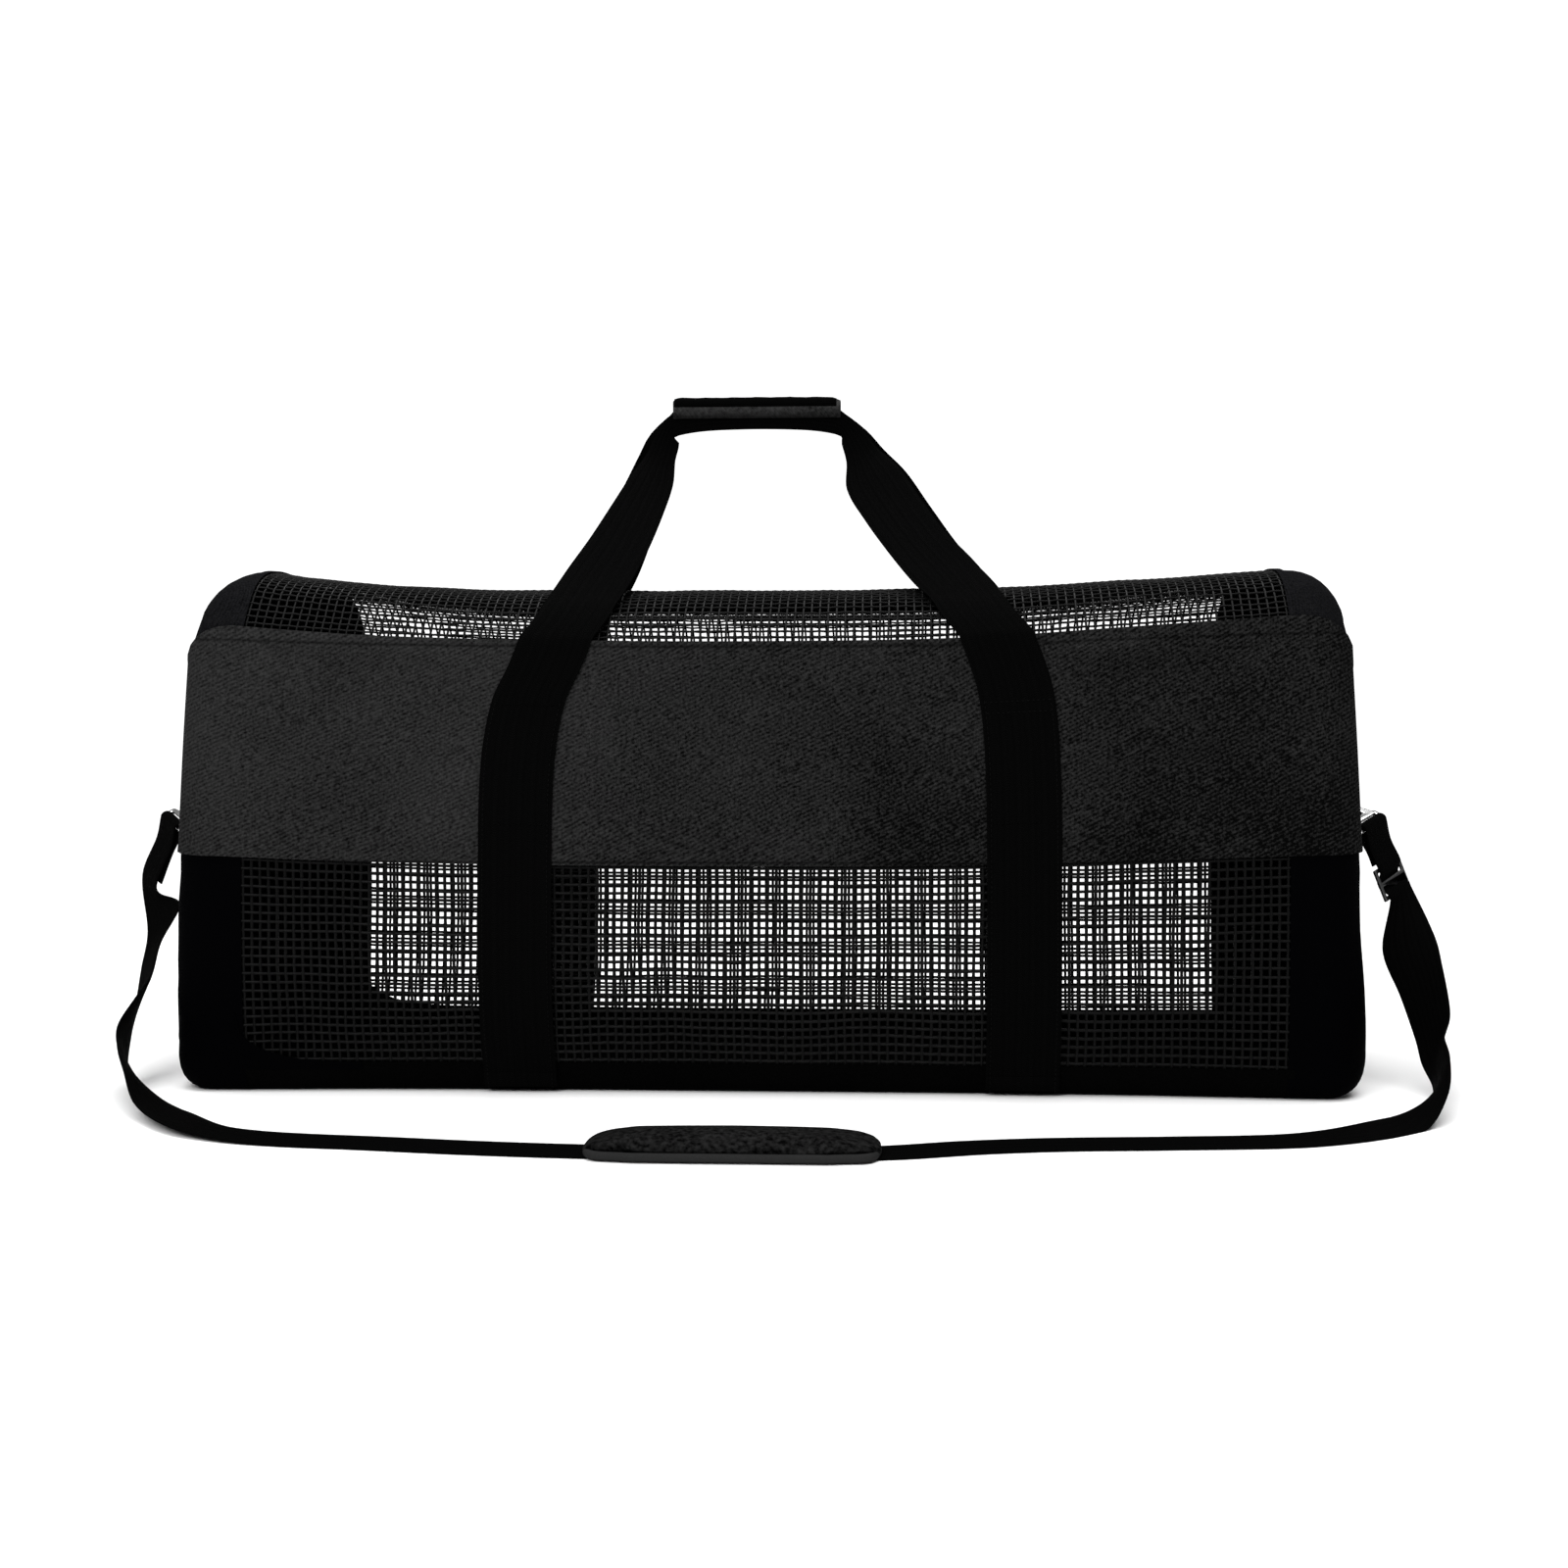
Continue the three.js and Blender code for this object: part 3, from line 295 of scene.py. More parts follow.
def skin(along, across):
    end = -1 if along < 0 else 1
    reach = abs(along)
    if reach <= 1:
        return Vector((along * WRAP_START, *section(along * WRAP_START, across)))
    rim_y, rim_z = section(end * WRAP_START, across)
    wy = (rim_y / (DEPTH / 2)) ** 2
    wz = ((rim_z - WALL_CENTRE) / WALL_CENTRE) ** 2
    flat_corner = TOP_CORNER if rim_z > WALL_CENTRE else FOOT_CORNER
    room = CAP_WRAP - (wall_x(0) - wall_x(rim_z)) - WRAP_LEAST
    corner = min((wy * SIDE_CORNER + wz * flat_corner) / (wy + wz), room)
    corner_x = wall_x(rim_z) - corner
    x = mix(WRAP_START, corner_x, min(reach - 1, 1))
    y, z = section(end * x, across)
    if reach <= 2:
        return Vector((end * x, y, z))
    angle = min(reach - 2, 1) * math.pi / 2
    shrink = 1 - math.cos(angle)
    edge_y = y * (1 - SIDE_CORNER * shrink / (DEPTH / 2))
    edge_z = WALL_CENTRE + (z - WALL_CENTRE) * (1 - flat_corner * shrink / WALL_CENTRE)
    if reach <= 3:
        return Vector((end * (corner_x + corner * math.sin(angle)), edge_y, edge_z))
    left = 4 - reach
    face_z = mix(WALL_CENTRE, edge_z, left)
    return Vector((end * (wall_x(face_z) + END_BULGE * (1 - left * left)), edge_y * left, face_z))


def skin_normal(along, across):
    if abs(along) > 3.2:
        return Vector((math.copysign(1, along), 0, 0))
    step = 0.004
    du = skin(along + step, across) - skin(along - step, across)
    dv = skin(along, (across + step) % 6) - skin(along, (across - step + 6) % 6)
    normal = dv.cross(du).normalized()
    outward = skin(along, across) - Vector((clamp(along, -0.9, 0.9) * WRAP_START, 0, WALL_CENTRE))
    return -normal if normal.dot(outward) < 0 else normal


MIDDLE_SEAM = section(0, 2)[1]
WALL_RISE = MIDDLE_SEAM - FOOT_HEIGHT
BAND_LEVEL = 1 + (BAND_FOOT - FOOT_HEIGHT) / WALL_RISE
TUCK_LEVEL = NET_TUCK / WALL_RISE


def level_at_depth(depth):
    low, high = 2.0, 3.0
    for _ in range(30):
        middle = (low + high) / 2
        if -section(0, middle)[0] > depth:
            low = middle
        else:
            high = middle
    return low


def cuts(start, stop, count):
    return [mix(start, stop, k / count) for k in range(count + 1)]


def facing(levels, front):
    """The levels as they are for the front, and mirrored for the rear."""
    return levels if front else [6 - level for level in reversed(levels)]


# Finishes: shader maths in Python expressions
class Value:
    """A shader socket that adds a Math node for each operation on it."""

    def __init__(self, finish, socket):
        self.finish = finish
        self.socket = socket

    def maths(self, operation, *others):
        made = self.finish.add("ShaderNodeMath", {"operation": operation}, self, *others)
        return Value(self.finish, made.outputs[0])

    def __add__(self, other):
        return self.maths("ADD", other)

    def __mul__(self, other):
        return self.maths("MULTIPLY", other)

    def __sub__(self, other):
        return self.maths("SUBTRACT", other)

    def __rsub__(self, other):
        return (self * -1) + other

    def sine(self):
        return self.maths("SINE")

    def absolute(self):
        return self.maths("ABSOLUTE")

    def top(self, other):
        return self.maths("MAXIMUM", other)

    def bottom(self, other):
        return self.maths("MINIMUM", other)

    def limited(self):
        return self.top(0.0).bottom(1.0)


def plug(tree, value, socket):
    """Link a socket to this one, or set it to a plain value."""
    if isinstance(value, Value):
        value = value.socket
    if isinstance(value, bpy.types.NodeSocket):
        tree.links.new(value, socket)
    elif value is not None:
        socket.default_value = value


class Finish:
    """A material under construction, with one way to add any node."""

    def __init__(self, name, **constants):
        self.material = bpy.data.materials.new(name)
        self.material.use_nodes = True
        self.tree = self.material.node_tree
        self.shader = self.tree.nodes["Principled BSDF"]
        for socket, value in constants.items():
            self.shader.inputs[socket.replace("_", " ")].default_value = value

    def add(self, kind, settings=None, *values, **named):
        node = self.tree.nodes.new(kind)
        for key, value in (settings or {}).items():
            setattr(node, key, value)
        pairs = list(zip(node.inputs, values))
        pairs += [(node.inputs[key.replace("_", " ")], value) for key, value in named.items()]
        for socket, value in pairs:
            plug(self.tree, value, socket)
        return node

    def value(self, kind, output, settings=None, *values, **named):
        return Value(self, self.add(kind, settings, *values, **named).outputs[output])

    def place(self):
        return self.value("ShaderNodeTexCoord", "Object")

    def chart(self):
        return self.value("ShaderNodeUVMap", "UV", {"uv_map": "cloth"})

    def parts(self, vector):
        split = self.add("ShaderNodeSeparateXYZ", None, vector)
        return [Value(self, socket) for socket in split.outputs]

    def grain(self, vector, scale, detail=3.0):
        settings = {"Vector": vector, "Scale": scale, "Detail": detail}
        return self.value("ShaderNodeTexNoise", "Fac", None, **settings)

    def blend(self, share, first, second):
        made = self.add("ShaderNodeMix", {"data_type": "RGBA"})
        for number, value in ((0, share), (6, first), (7, second)):
            plug(self.tree, value, made.inputs[number])
        return Value(self, made.outputs[2])

    def feed(self, socket, value):
        self.tree.links.new(value.socket, self.shader.inputs[socket])

    def colour(self, share, dark, light):
        self.feed("Base Color", self.blend(share, dark, light))

    def relief(self, height, depth, strength):
        settings = {"Height": height, "Distance": depth, "Strength": strength}
        self.feed("Normal", self.value("ShaderNodeBump", "Normal", None, **settings))


def grey(level, warmth=0.0):
    return (level * (1 + warmth), level, level * (1 - warmth), 1.0)


def plain_weave(u, v, pitch):
    """Warp and weft seen by turns: 0 in the gaps between the threads, 1 on top of each."""
    warp = (u * (math.pi / pitch)).sine().absolute()
    weft = (v * (math.pi / pitch)).sine().absolute()
    turn = ((u * (math.pi / pitch)).sine() * (v * (math.pi / pitch)).sine()) * 0.5 + 0.5
    return warp * turn + weft * (1 - turn)


def oxford_cloth(name, level, shade):
    """Woven cloth with slanting ribs, with painted shade making it darker to the right and low
    down, and darker at its seams.
    """
    finish = Finish(name, Roughness=0.85, Specular_IOR_Level=0.03, IOR=1.3)
    u, v, _ = finish.parts(finish.chart())
    x, _, z = finish.parts(finish.place())
    threads = plain_weave(u, v, THREAD_PITCH)
    patches = finish.grain(finish.place(), 9.0, 4.0)
    specks = finish.grain(finish.place(), 520.0, 3.0)
    wander = finish.grain(finish.place(), 14.0, 2.0) * 0.006
    ribs = ((u * 0.42 - v * 0.91 + wander) * (2 * math.pi / RIB_PITCH)).sine() * 0.5 + 0.5
    weave = (threads - 0.5) * 0.2 + (specks - 0.5) * 1.9 + (ribs - 0.5) * 0.34
    # painted shade: the tone falls off to the right and low down, with random patches of tone on
    # top
    painted_shade_and_patches = 0.4 - x * 0.65 + (z - 0.25) * 1.2 + (patches - 0.5) * 0.7
    to_hem = ((z - (BAND_FOOT + 2.5) * MM).absolute() * 700.0).limited()
    to_seam = ((v - (2 - BAND_LEVEL) * WALL_RISE * MM + 0.003).absolute() * 600.0).limited()
    tone = (painted_shade_and_patches + weave).limited() * (to_hem * 0.7 + 0.3) * (to_seam * 0.6 + 0.4)
    finish.colour(tone, grey(level * shade), grey(level))
    finish.feed("Roughness", specks * 0.2 + 0.75)
    finish.relief(threads * 0.4 + specks * 0.4 + ribs * 0.6, 0.0005, 0.9)
    return finish.material


def grainy_cloth(name, dark, light, size=700.0, painted_low_shade=0.0, foot=0.27, rise=0.055):
    """Speckled cloth; lifted is how much of its tone comes in only above the foot's height, as
    painted shade below that height and painted light above it.
    """
    finish = Finish(name, Roughness=0.85, Specular_IOR_Level=0.02, IOR=1.2)
    place = finish.place()
    x, y, z = finish.parts(place)
    specks = finish.grain(place, size, 3.0)
    threads = ((x + y) * 3000.0).sine() * (z * 3000.0).sine() * 0.5 + 0.5
    patches = finish.grain(place, 12.0, 3.0)
    tone = (specks - 0.5) * 1.2 + threads * 0.25 + (patches - 0.5) * 0.5 + 0.3
    # painted shade low down and painted light higher up: the tone fades in from the foot's height
    # over rise
    painted_top_light = ((z - foot) * (1 / rise)).limited() * painted_low_shade + (1 - painted_low_shade)
    finish.colour(tone.limited() * painted_top_light, dark, light)
    finish.feed("Roughness", specks * 0.25 + 0.7)
    finish.relief(specks * 0.6 + threads * 0.4, 0.0004, 0.8)
    return finish.material


def ribbed_webbing(name, level, pitch=0.0016):
    finish = Finish(name, Roughness=0.8, Specular_IOR_Level=0.02, IOR=1.2)
    u, v, _ = finish.parts(finish.chart())
    slant = (v * (math.pi / 0.006)).sine().absolute() * 0.003
    ribs = ((u + slant) * (2 * math.pi / pitch)).sine() * 0.5 + 0.5
    cords = (v * (math.pi / 0.0032)).sine().absolute()
    specks = finish.grain(finish.place(), 1100.0, 2.0)
    tone = ribs * 0.45 + cords * 0.2 + specks * 0.5
    finish.colour(tone.limited(), grey(level * 0.4), grey(level))
    finish.feed("Roughness", specks * 0.2 + 0.7)
    finish.relief(ribs * 0.7 + cords * 0.5 + specks * 0.3, 0.0005, 0.9)
    return finish.material


def coated_net():
    finish = Finish("coated_net", Roughness=0.35, Specular_IOR_Level=0.04)
    place = finish.place()
    wear = finish.grain(place, 160.0, 3.0)
    patches = finish.grain(place, 14.0, 2.0)
    tone = (wear * 0.6 + patches * 0.5).limited()
    finish.colour(tone, grey(0.0008), grey(0.004))
    finish.feed("Roughness", wear * 0.3 + 0.2)
    finish.relief(wear, 0.0003, 0.5)
    return finish.material


def plated_metal(name, level, roughness):
    finish = Finish(name, Metallic=1.0)
    place = finish.place()
    smears = finish.grain(place, 90.0, 3.0)
    scratches = finish.grain(place, 1400.0, 2.0)
    finish.colour(smears, grey(level * 0.75), grey(level))
    finish.feed("Roughness", smears * 0.2 + roughness)
    finish.relief(scratches, 0.0001, 0.25)
    return finish.material


def napped_cloth():
    finish = Finish("pad_nap", Roughness=0.95, Specular_IOR_Level=0.04, IOR=1.25)
    place = finish.place()
    tufts = finish.grain(place, 330.0, 4.0)
    specks = finish.grain(place, 1500.0, 2.0)
    patches = finish.grain(place, 30.0, 3.0)
    tone = (tufts - 0.5) * 3.0 + specks * 0.2 + (patches - 0.5) * 0.6 + 0.4
    finish.colour(tone.limited(), grey(0.0005), grey(0.011))
    finish.relief(tufts * 0.8 + specks * 0.3, 0.0014, 0.9)
    return finish.material


def speckled(name, scale, dark, light, **constants):
    finish = Finish(name, **constants)
    specks = finish.grain(finish.place(), scale, 2.0)
    finish.colour(specks, grey(dark), grey(light))
    return finish.material


def studio_white():
    finish = Finish("studio_white", Roughness=0.9, Specular_IOR_Level=0.1)
    finish.shader.inputs["Base Color"].default_value = (0.93, 0.93, 0.93, 1.0)
    return finish.material


NET = coated_net()
BAND_CLOTH = oxford_cloth("band_oxford", 0.0225, 0.04)
CAP_DARK = (0.0005, 0.0005, 0.0007, 1)
CAP_LIGHT = (0.0105, 0.0105, 0.0115, 1)
# painted shade: the cap cloth is near black below 27 cm and comes to its full tone above, a painted
# top light
CAP_CLOTH = grainy_cloth("cap_cloth", CAP_DARK, CAP_LIGHT, painted_low_shade=1.0)
BASE_CLOTH = grainy_cloth("base_cloth", grey(0.0003), grey(0.0014))
STRAP_WEB = ribbed_webbing("black_webbing", 0.0016)
# painted highlight and shade: the grip wrap is light grey on top and painted dark towards its low
# edge, fading in from 484 mm over 13 mm
WRAP_CLOTH = grainy_cloth("wrap_cloth", grey(0.0015), grey(0.085), 420.0, 0.95, 0.484, 0.013)
TAPE_WEB = ribbed_webbing("zip_tape_weave", 0.003, 0.001)
COIL = speckled("zip_coil", 700.0, 0.006, 0.02, Roughness=0.45, Specular_IOR_Level=0.4)
THREAD = speckled("sewing_thread", 1800.0, 0.0005, 0.003, Roughness=0.8, Specular_IOR_Level=0.03)
RING_METAL = plated_metal("ring_plate", 0.75, 0.12)
SLIDER_METAL = plated_metal("slider_plate", 0.1, 0.3)
PAD_NAP = napped_cloth()
BINDING = ribbed_webbing("edge_binding", 0.022, 0.0012)


# Meshes from grids of points in millimetres
SHARP_DEGREES = 50


def new_object(name, mesh):
    piece = bpy.data.objects.new(name, mesh)
    bpy.context.scene.collection.objects.link(piece)
    return piece


def modified(piece):
    """The piece's mesh as its modifiers leave it, with the modifiers then taken off."""
    graph = bpy.context.evaluated_depsgraph_get()
    mesh = bpy.data.meshes.new_from_object(piece.evaluated_get(graph))
    piece.modifiers.clear()
    piece.data = mesh
    return mesh


def smoothed(mesh, material):
    mesh.materials.clear()
    mesh.materials.append(material)
    for face in mesh.polygons:
        face.use_smooth = True


def welded(mesh):
    """An editable copy of the mesh with its doubled points merged."""
    shape = bmesh.new()
    shape.from_mesh(mesh)
    bmesh.ops.remove_doubles(shape, verts=shape.verts, dist=1e-6)
    return shape


def put_back(shape, mesh):
    shape.to_mesh(mesh)
    shape.free()


def finished(name, points, faces, charts, material):
    mesh = bpy.data.meshes.new(name)
    mesh.from_pydata([(p.x * MM, p.y * MM, max(p.z, 0) * MM) for p in points], [], faces)
    layer = mesh.uv_layers.new(name="cloth")
    for loop in mesh.loops:
        layer.data[loop.index].uv = charts[loop.vertex_index]
    shape = welded(mesh)
    bmesh.ops.dissolve_degenerate(shape, edges=shape.edges, dist=1e-7)
    if shape.calc_volume(signed=True) < 0:
        bmesh.ops.reverse_faces(shape, faces=shape.faces)
    put_back(shape, mesh)
    smoothed(mesh, material)
    mesh.set_sharp_from_angle(angle=math.radians(SHARP_DEGREES))
    return new_object(name, mesh)


class Shell:
    """Closed walls from outer and inner grids of points, several to one piece."""

    def __init__(self):
        self.points = []
        self.charts = []
        self.faces = []

    def wall(self, outer, inner, charts, round_across=False):
        start = len(self.points)
        rows = len(outer)
        columns = len(outer[0])
        flat = rows * columns
        for layer in (outer, inner):
            for row, chart_row in zip(layer, charts):
                self.points += row
                self.charts += chart_row

        def near(i, j):
            return start + i * columns + j % columns

        def far(i, j):
            return near(i, j) + flat

        def quad(*corners):
            self.faces.append(corners)

        spans = columns if round_across else columns - 1
        end = rows - 1
        for i in range(end):
            for j in range(spans):
                quad(near(i, j), near(i + 1, j), near(i + 1, j + 1), near(i, j + 1))
                quad(far(i, j), far(i, j + 1), far(i + 1, j + 1), far(i + 1, j))
        for j in range(spans):
            quad(near(0, j), near(0, j + 1), far(0, j + 1), far(0, j))
            quad(near(end, j + 1), near(end, j), far(end, j), far(end, j + 1))
        if not round_across:
            last = columns - 1
            for i in range(end):
                quad(near(i + 1, 0), near(i, 0), far(i, 0), far(i + 1, 0))
                quad(near(i, last), near(i + 1, last), far(i + 1, last), far(i, last))

    def piece(self, name, material):
        return finished(name, self.points, self.faces, self.charts, material)


def one_wall(name, material, layers, round_across=False):
    shell = Shell()
    shell.wall(*layers, round_across)
    return shell.piece(name, material)


def add_lines(layers, lines):
    for layer, line in zip(layers, lines):
        layer.append(line)


# Width in metres that each end face takes up on the chart
END_CHART = 0.05


def skin_layers(alongs, acrosses, offsets):
    """Outer and inner points over the skin, with a chart of metres along and across it."""
    layers = ([], [], [])
    for along in alongs:
        outer, inner, chart = [], [], []
        run = 0.0
        before = None
        for across in acrosses:
            point = skin(along, across)
            normal = skin_normal(along, across)
            high, low = offsets(along, across, point)
            outer.append(point + normal * high)
            inner.append(point + normal * low)
            run += (point - before).length if before is not None else 0.0
            before = point
            past = max(abs(along) - 3, 0)
            chart.append((point.x * MM + past * END_CHART, run * MM))
        add_lines(layers, (outer, inner, chart))
    return layers


def rides(piece, slot, *nodes):
    if nodes:
        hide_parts(*nodes)
    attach(piece, "root")
    return piece


# Geometry node trees
class Tree:
    """A geometry tree under construction, with named inputs."""

    def __init__(self, name, **inputs):
        self.group = bpy.data.node_groups.new(name, "GeometryNodeTree")
        inputs = {"Geometry": "Geometry", **inputs, "Material": "Material"}
        make = self.group.interface.new_socket
        self.sockets = {
            label: make(label, in_out="INPUT", socket_type="NodeSocket" + kind)
            for label, kind in inputs.items()
        }
        make("Geometry", in_out="OUTPUT", socket_type="NodeSocketGeometry")
        self.given = self.group.nodes.new("NodeGroupInput")
        self.result = self.group.nodes.new("NodeGroupOutput")

    def add(self, kind, settings=None, **links):
        node = self.group.nodes.new(kind)
        for key, value in (settings or {}).items():
            setattr(node, key, value)
        for key, value in links.items():
            plug(self.group, value, node.inputs[key.replace("_", " ")])
        return node

    def runs(self):
        """The given edges as curves."""
        return self.add("GeometryNodeMeshToCurve", None, Mesh=self.given.outputs["Geometry"])

    def finish(self, geometry):
        smooth = self.add("GeometryNodeSetShadeSmooth", None, Geometry=geometry)
        real = self.add("GeometryNodeRealizeInstances", None, Geometry=smooth.outputs[0])
        dressed = self.add("GeometryNodeSetMaterial", None, Geometry=real.outputs[0])
        self.group.links.new(self.given.outputs["Material"], dressed.inputs["Material"])
        self.group.links.new(dressed.outputs[0], self.result.inputs[0])

    def apply(self, piece, **values):
        modifier = piece.modifiers.new("shape", "NODES")
        modifier.node_group = self.group
        for label, value in values.items():
            modifier[self.sockets[label].identifier] = value
        modified(piece)
        return piece


def strand_tree():
    tree = Tree("net_strands", Radius="Float", Sides="Int")
    ring = tree.add("GeometryNodeCurvePrimitiveCircle", None)
    plug(tree.group, tree.given.outputs["Radius"], ring.inputs["Radius"])
    plug(tree.group, tree.given.outputs["Sides"], ring.inputs["Resolution"])
    ends = {"Curve": tree.runs().outputs[0], "Profile_Curve": ring.outputs[0], "Fill_Caps": True}
    tree.finish(tree.add("GeometryNodeCurveToMesh", None, **ends).outputs[0])
    return tree


def bead_tree(name, radius, subdivisions, turned):
    """Beads at a pitch along each run, turned to lie along it or left upright."""
    tree = Tree(name, Pitch="Float", Size="Vector")
    spaced = tree.add("GeometryNodeResampleCurve", {"mode": "LENGTH"}, Curve=tree.runs().outputs[0])
    plug(tree.group, tree.given.outputs["Pitch"], spaced.inputs["Length"])
    shape = {"Radius": radius, "Subdivisions": subdivisions}
    bead = tree.add("GeometryNodeMeshIcoSphere", None, **shape)
    put = {"Points": spaced.outputs[0], "Instance": bead.outputs[0]}
    put["Scale"] = tree.given.outputs["Size"]
    if turned:
        way = tree.add("GeometryNodeInputTangent")
        turn = tree.add("FunctionNodeAlignEulerToVector", {"axis": "Z"}, Vector=way.outputs[0])
        put["Rotation"] = turn.outputs[0]
    tree.finish(tree.add("GeometryNodeInstanceOnPoints", None, **put).outputs[0])
    return tree


STRANDS = strand_tree()
STITCHES = bead_tree("stitch_run", 1.0, 1, True)
TEETH = bead_tree("zip_teeth", 0.5, 2, False)
STITCH_SIZE = (0.0004, 0.0004, 0.0013)
TOOTH_SIZE = (0.0017, 0.0046, 0.0024)
TOOTH_PITCH = 2.6


def polylines(name, runs):
    points = [tuple(p * MM) for run in runs for p in run]
    edges = []
    start = 0
    for run in runs:
        edges += [(start + k, start + k + 1) for k in range(len(run) - 1)]
        start += len(run)
    mesh = bpy.data.meshes.new(name)
    mesh.from_pydata(points, edges, [])
    return new_object(name, mesh)


def joined(name, pieces):
    with bpy.context.temp_override(active_object=pieces[0], selected_editable_objects=pieces):
        bpy.ops.object.join()
    pieces[0].name = name
    return pieces[0]


# Net panels: strands crossing over and under each other, slack between the seams
NET_DEPTH = 1
NET_SLACK = 1.2
SLACK_HEIGHT = 120
STRAND_DRIFT = 0.9
STRAND_WEAVE = 0.3
FADE_STRANDS = 4


def slack(point, foot_slack):
    wander = noise.noise(Vector((point.x, point.y * 0.7, point.z)) / 70)
    ripple = noise.noise(Vector((point.x + 400, point.y, point.z * 1.5)) / 24)
    low = clamp(1 - point.z / SLACK_HEIGHT, 0, 1)
    loose = foot_slack * low * (1.5 + wander * 2)
    return -(NET_SLACK + NET_SLACK * wander + 0.5 * ripple + loose)


def net(name, row):
    low, high, unit = row["low"], row["high"], row["unit"]
    columns = round(2 * WRAP_START / NET_PITCH)
    rows = round((high - low) * unit / NET_PITCH)
    alongs = cuts(-1 + 0.001, 1 - 0.001, columns)
    acrosses = cuts(low, high, rows)

    def edge(k, count):
        return clamp(min(k, count - k) / FADE_STRANDS, 0, 1)

    grid = []
    for i, along in enumerate(alongs):
        line = []
        for j, across in enumerate(acrosses):
            free = edge(i, columns) * edge(j, rows)
            point = skin(along, across)
            drift = noise.noise(point / 45 + Vector((7, 3, 1))) * STRAND_DRIFT * free / WRAP_START
            sink = noise.noise(point / 38 + Vector((1, 9, 4))) * STRAND_DRIFT * free / unit
            place = skin(clamp(along + drift, -0.999, 0.999), across + sink)
            normal = skin_normal(along, across)
            over = STRAND_WEAVE if (i + j) % 2 else -STRAND_WEAVE
            depth = -NET_DEPTH + slack(point, row["slack"]) * free
            line.append((place + normal * (depth + over), place + normal * (depth - over)))
        grid.append(line)
    runs = [[pair[0] for pair in line] for line in grid]
    runs += [[grid[i][j][1] for i in range(columns + 1)] for j in range(rows + 1)]
    piece = polylines(name, runs)
    return STRANDS.apply(piece, Radius=row["radius"] * MM, Sides=6, Material=NET)


TOP_LOW = 2 - TUCK_LEVEL
TOP_HIGH = level_at_depth(TAPE_WIDTH + CHAIN_WIDTH / 2 - NET_TUCK)
TOP_UNIT = 186
WALL_LOW = 1.002
WALL_HIGH = BAND_LEVEL + TUCK_LEVEL
NETS = table(
    "node low high unit slack radius",
    ("front_mesh", WALL_LOW, WALL_HIGH, WALL_RISE, 1.2, STRAND_RADIUS),
    ("rear_mesh", 6 - WALL_HIGH, 6 - WALL_LOW, WALL_RISE, 1.0, STRAND_RADIUS),
    ("top_mesh_front", TOP_LOW, TOP_HIGH, TOP_UNIT, 0.0, TOP_STRAND_RADIUS),
    ("top_mesh_rear", 6 - TOP_HIGH, 6 - TOP_LOW, TOP_UNIT, 0.0, TOP_STRAND_RADIUS),
)
for row, name in zip(NETS, ("front_net", "rear_net", "top_net_front", "top_net_rear")):
    rides(net(name + "_strands", row), "net", row["node"])


# Cloth panels; skins are the outer and inner faces' heights over the bag's skin
BAND_SKINS = (2.0, 0.7)
HEM_HEIGHT = 0.45
HEM_WIDTH = 5
HANDLE_KEEP = 27
HANDLE_EASE = 14
LAP_WIDTH = 5


def fold_push(point):
    push = 0.0
    for fold in BAND_FOLDS:
        dx = fold["x1"] - fold["x0"]
        dz = fold["z1"] - fold["z0"]
        share = ((point.x - fold["x0"]) * dx + (point.z - fold["z0"]) * dz) / (dx * dx + dz * dz)
        inside = clamp(share, 0, 1)
        away = math.hypot(point.x - fold["x0"] - dx * inside, point.z - fold["z0"] - dz * inside)
        taper = math.sin(math.pi * clamp(inside * 0.9 + 0.05, 0, 1)) ** 0.5
        push += fold["height"] * math.exp(-((away / fold["spread"]) ** 2)) * taper
    return push


def band(name, front):
    feet = FRONT_FEET if front else REAR_FEET
    side = 1 if front else -1
    levels = facing(cuts(BAND_LEVEL, 2, 44), front)
    ends = [2, 2.15, 2.3, 2.45, 2.6, 2.75, 2.95]
    alongs = [-u for u in reversed(ends)] + [-1.5, *cuts(-1, 1, 170), 1.5] + ends

    def offsets(along, across, point):
        level = across if front else 6 - across
        edge = min(level - BAND_LEVEL, 2 - level) * WALL_RISE
        hem = HEM_HEIGHT * math.exp(-((edge / HEM_WIDTH) ** 4))
        free = clamp(edge / 16, 0, 1) * clamp((WRAP_START - abs(point.x)) / 30, 0, 1)
        wander = noise.noise(Vector((point.x, 0, point.z * 1.6)) / 85 + Vector((0, side * 3, 0)))
        seen_from_front = point if front else Vector((-point.x, 0, point.z))
        push = fold_push(seen_from_front) + 1.6 * wander
        beside = min(abs(point.x - foot) for foot in feet)
        room = clamp((beside - HANDLE_KEEP) / HANDLE_EASE, 0, 1)
        push = push * room if push > 0 else push * mix(0.3, 1, room)
        push *= free
        return BAND_SKINS[0] + hem + push, BAND_SKINS[1] + push

    layers = skin_layers(alongs, levels, offsets)
    return one_wall(name, BAND_CLOTH, layers), flat_size(layers[0])


def flat_size(grid):
    """The panel's length and width along its middle row and column, in metres."""
    middle = len(grid[0]) // 2
    row = [line[middle] for line in grid]
    column = grid[len(grid) // 2]
    length = sum((b - a).length for a, b in zip(row, row[1:]))
    width = sum((b - a).length for a, b in zip(column, column[1:]))
    return length * MM, width * MM


for node, front in (("front_band", True), ("rear_band", False)):
    panel, cut_size = band(node + "_cloth", front)
    rides(panel, "woven_band", node)


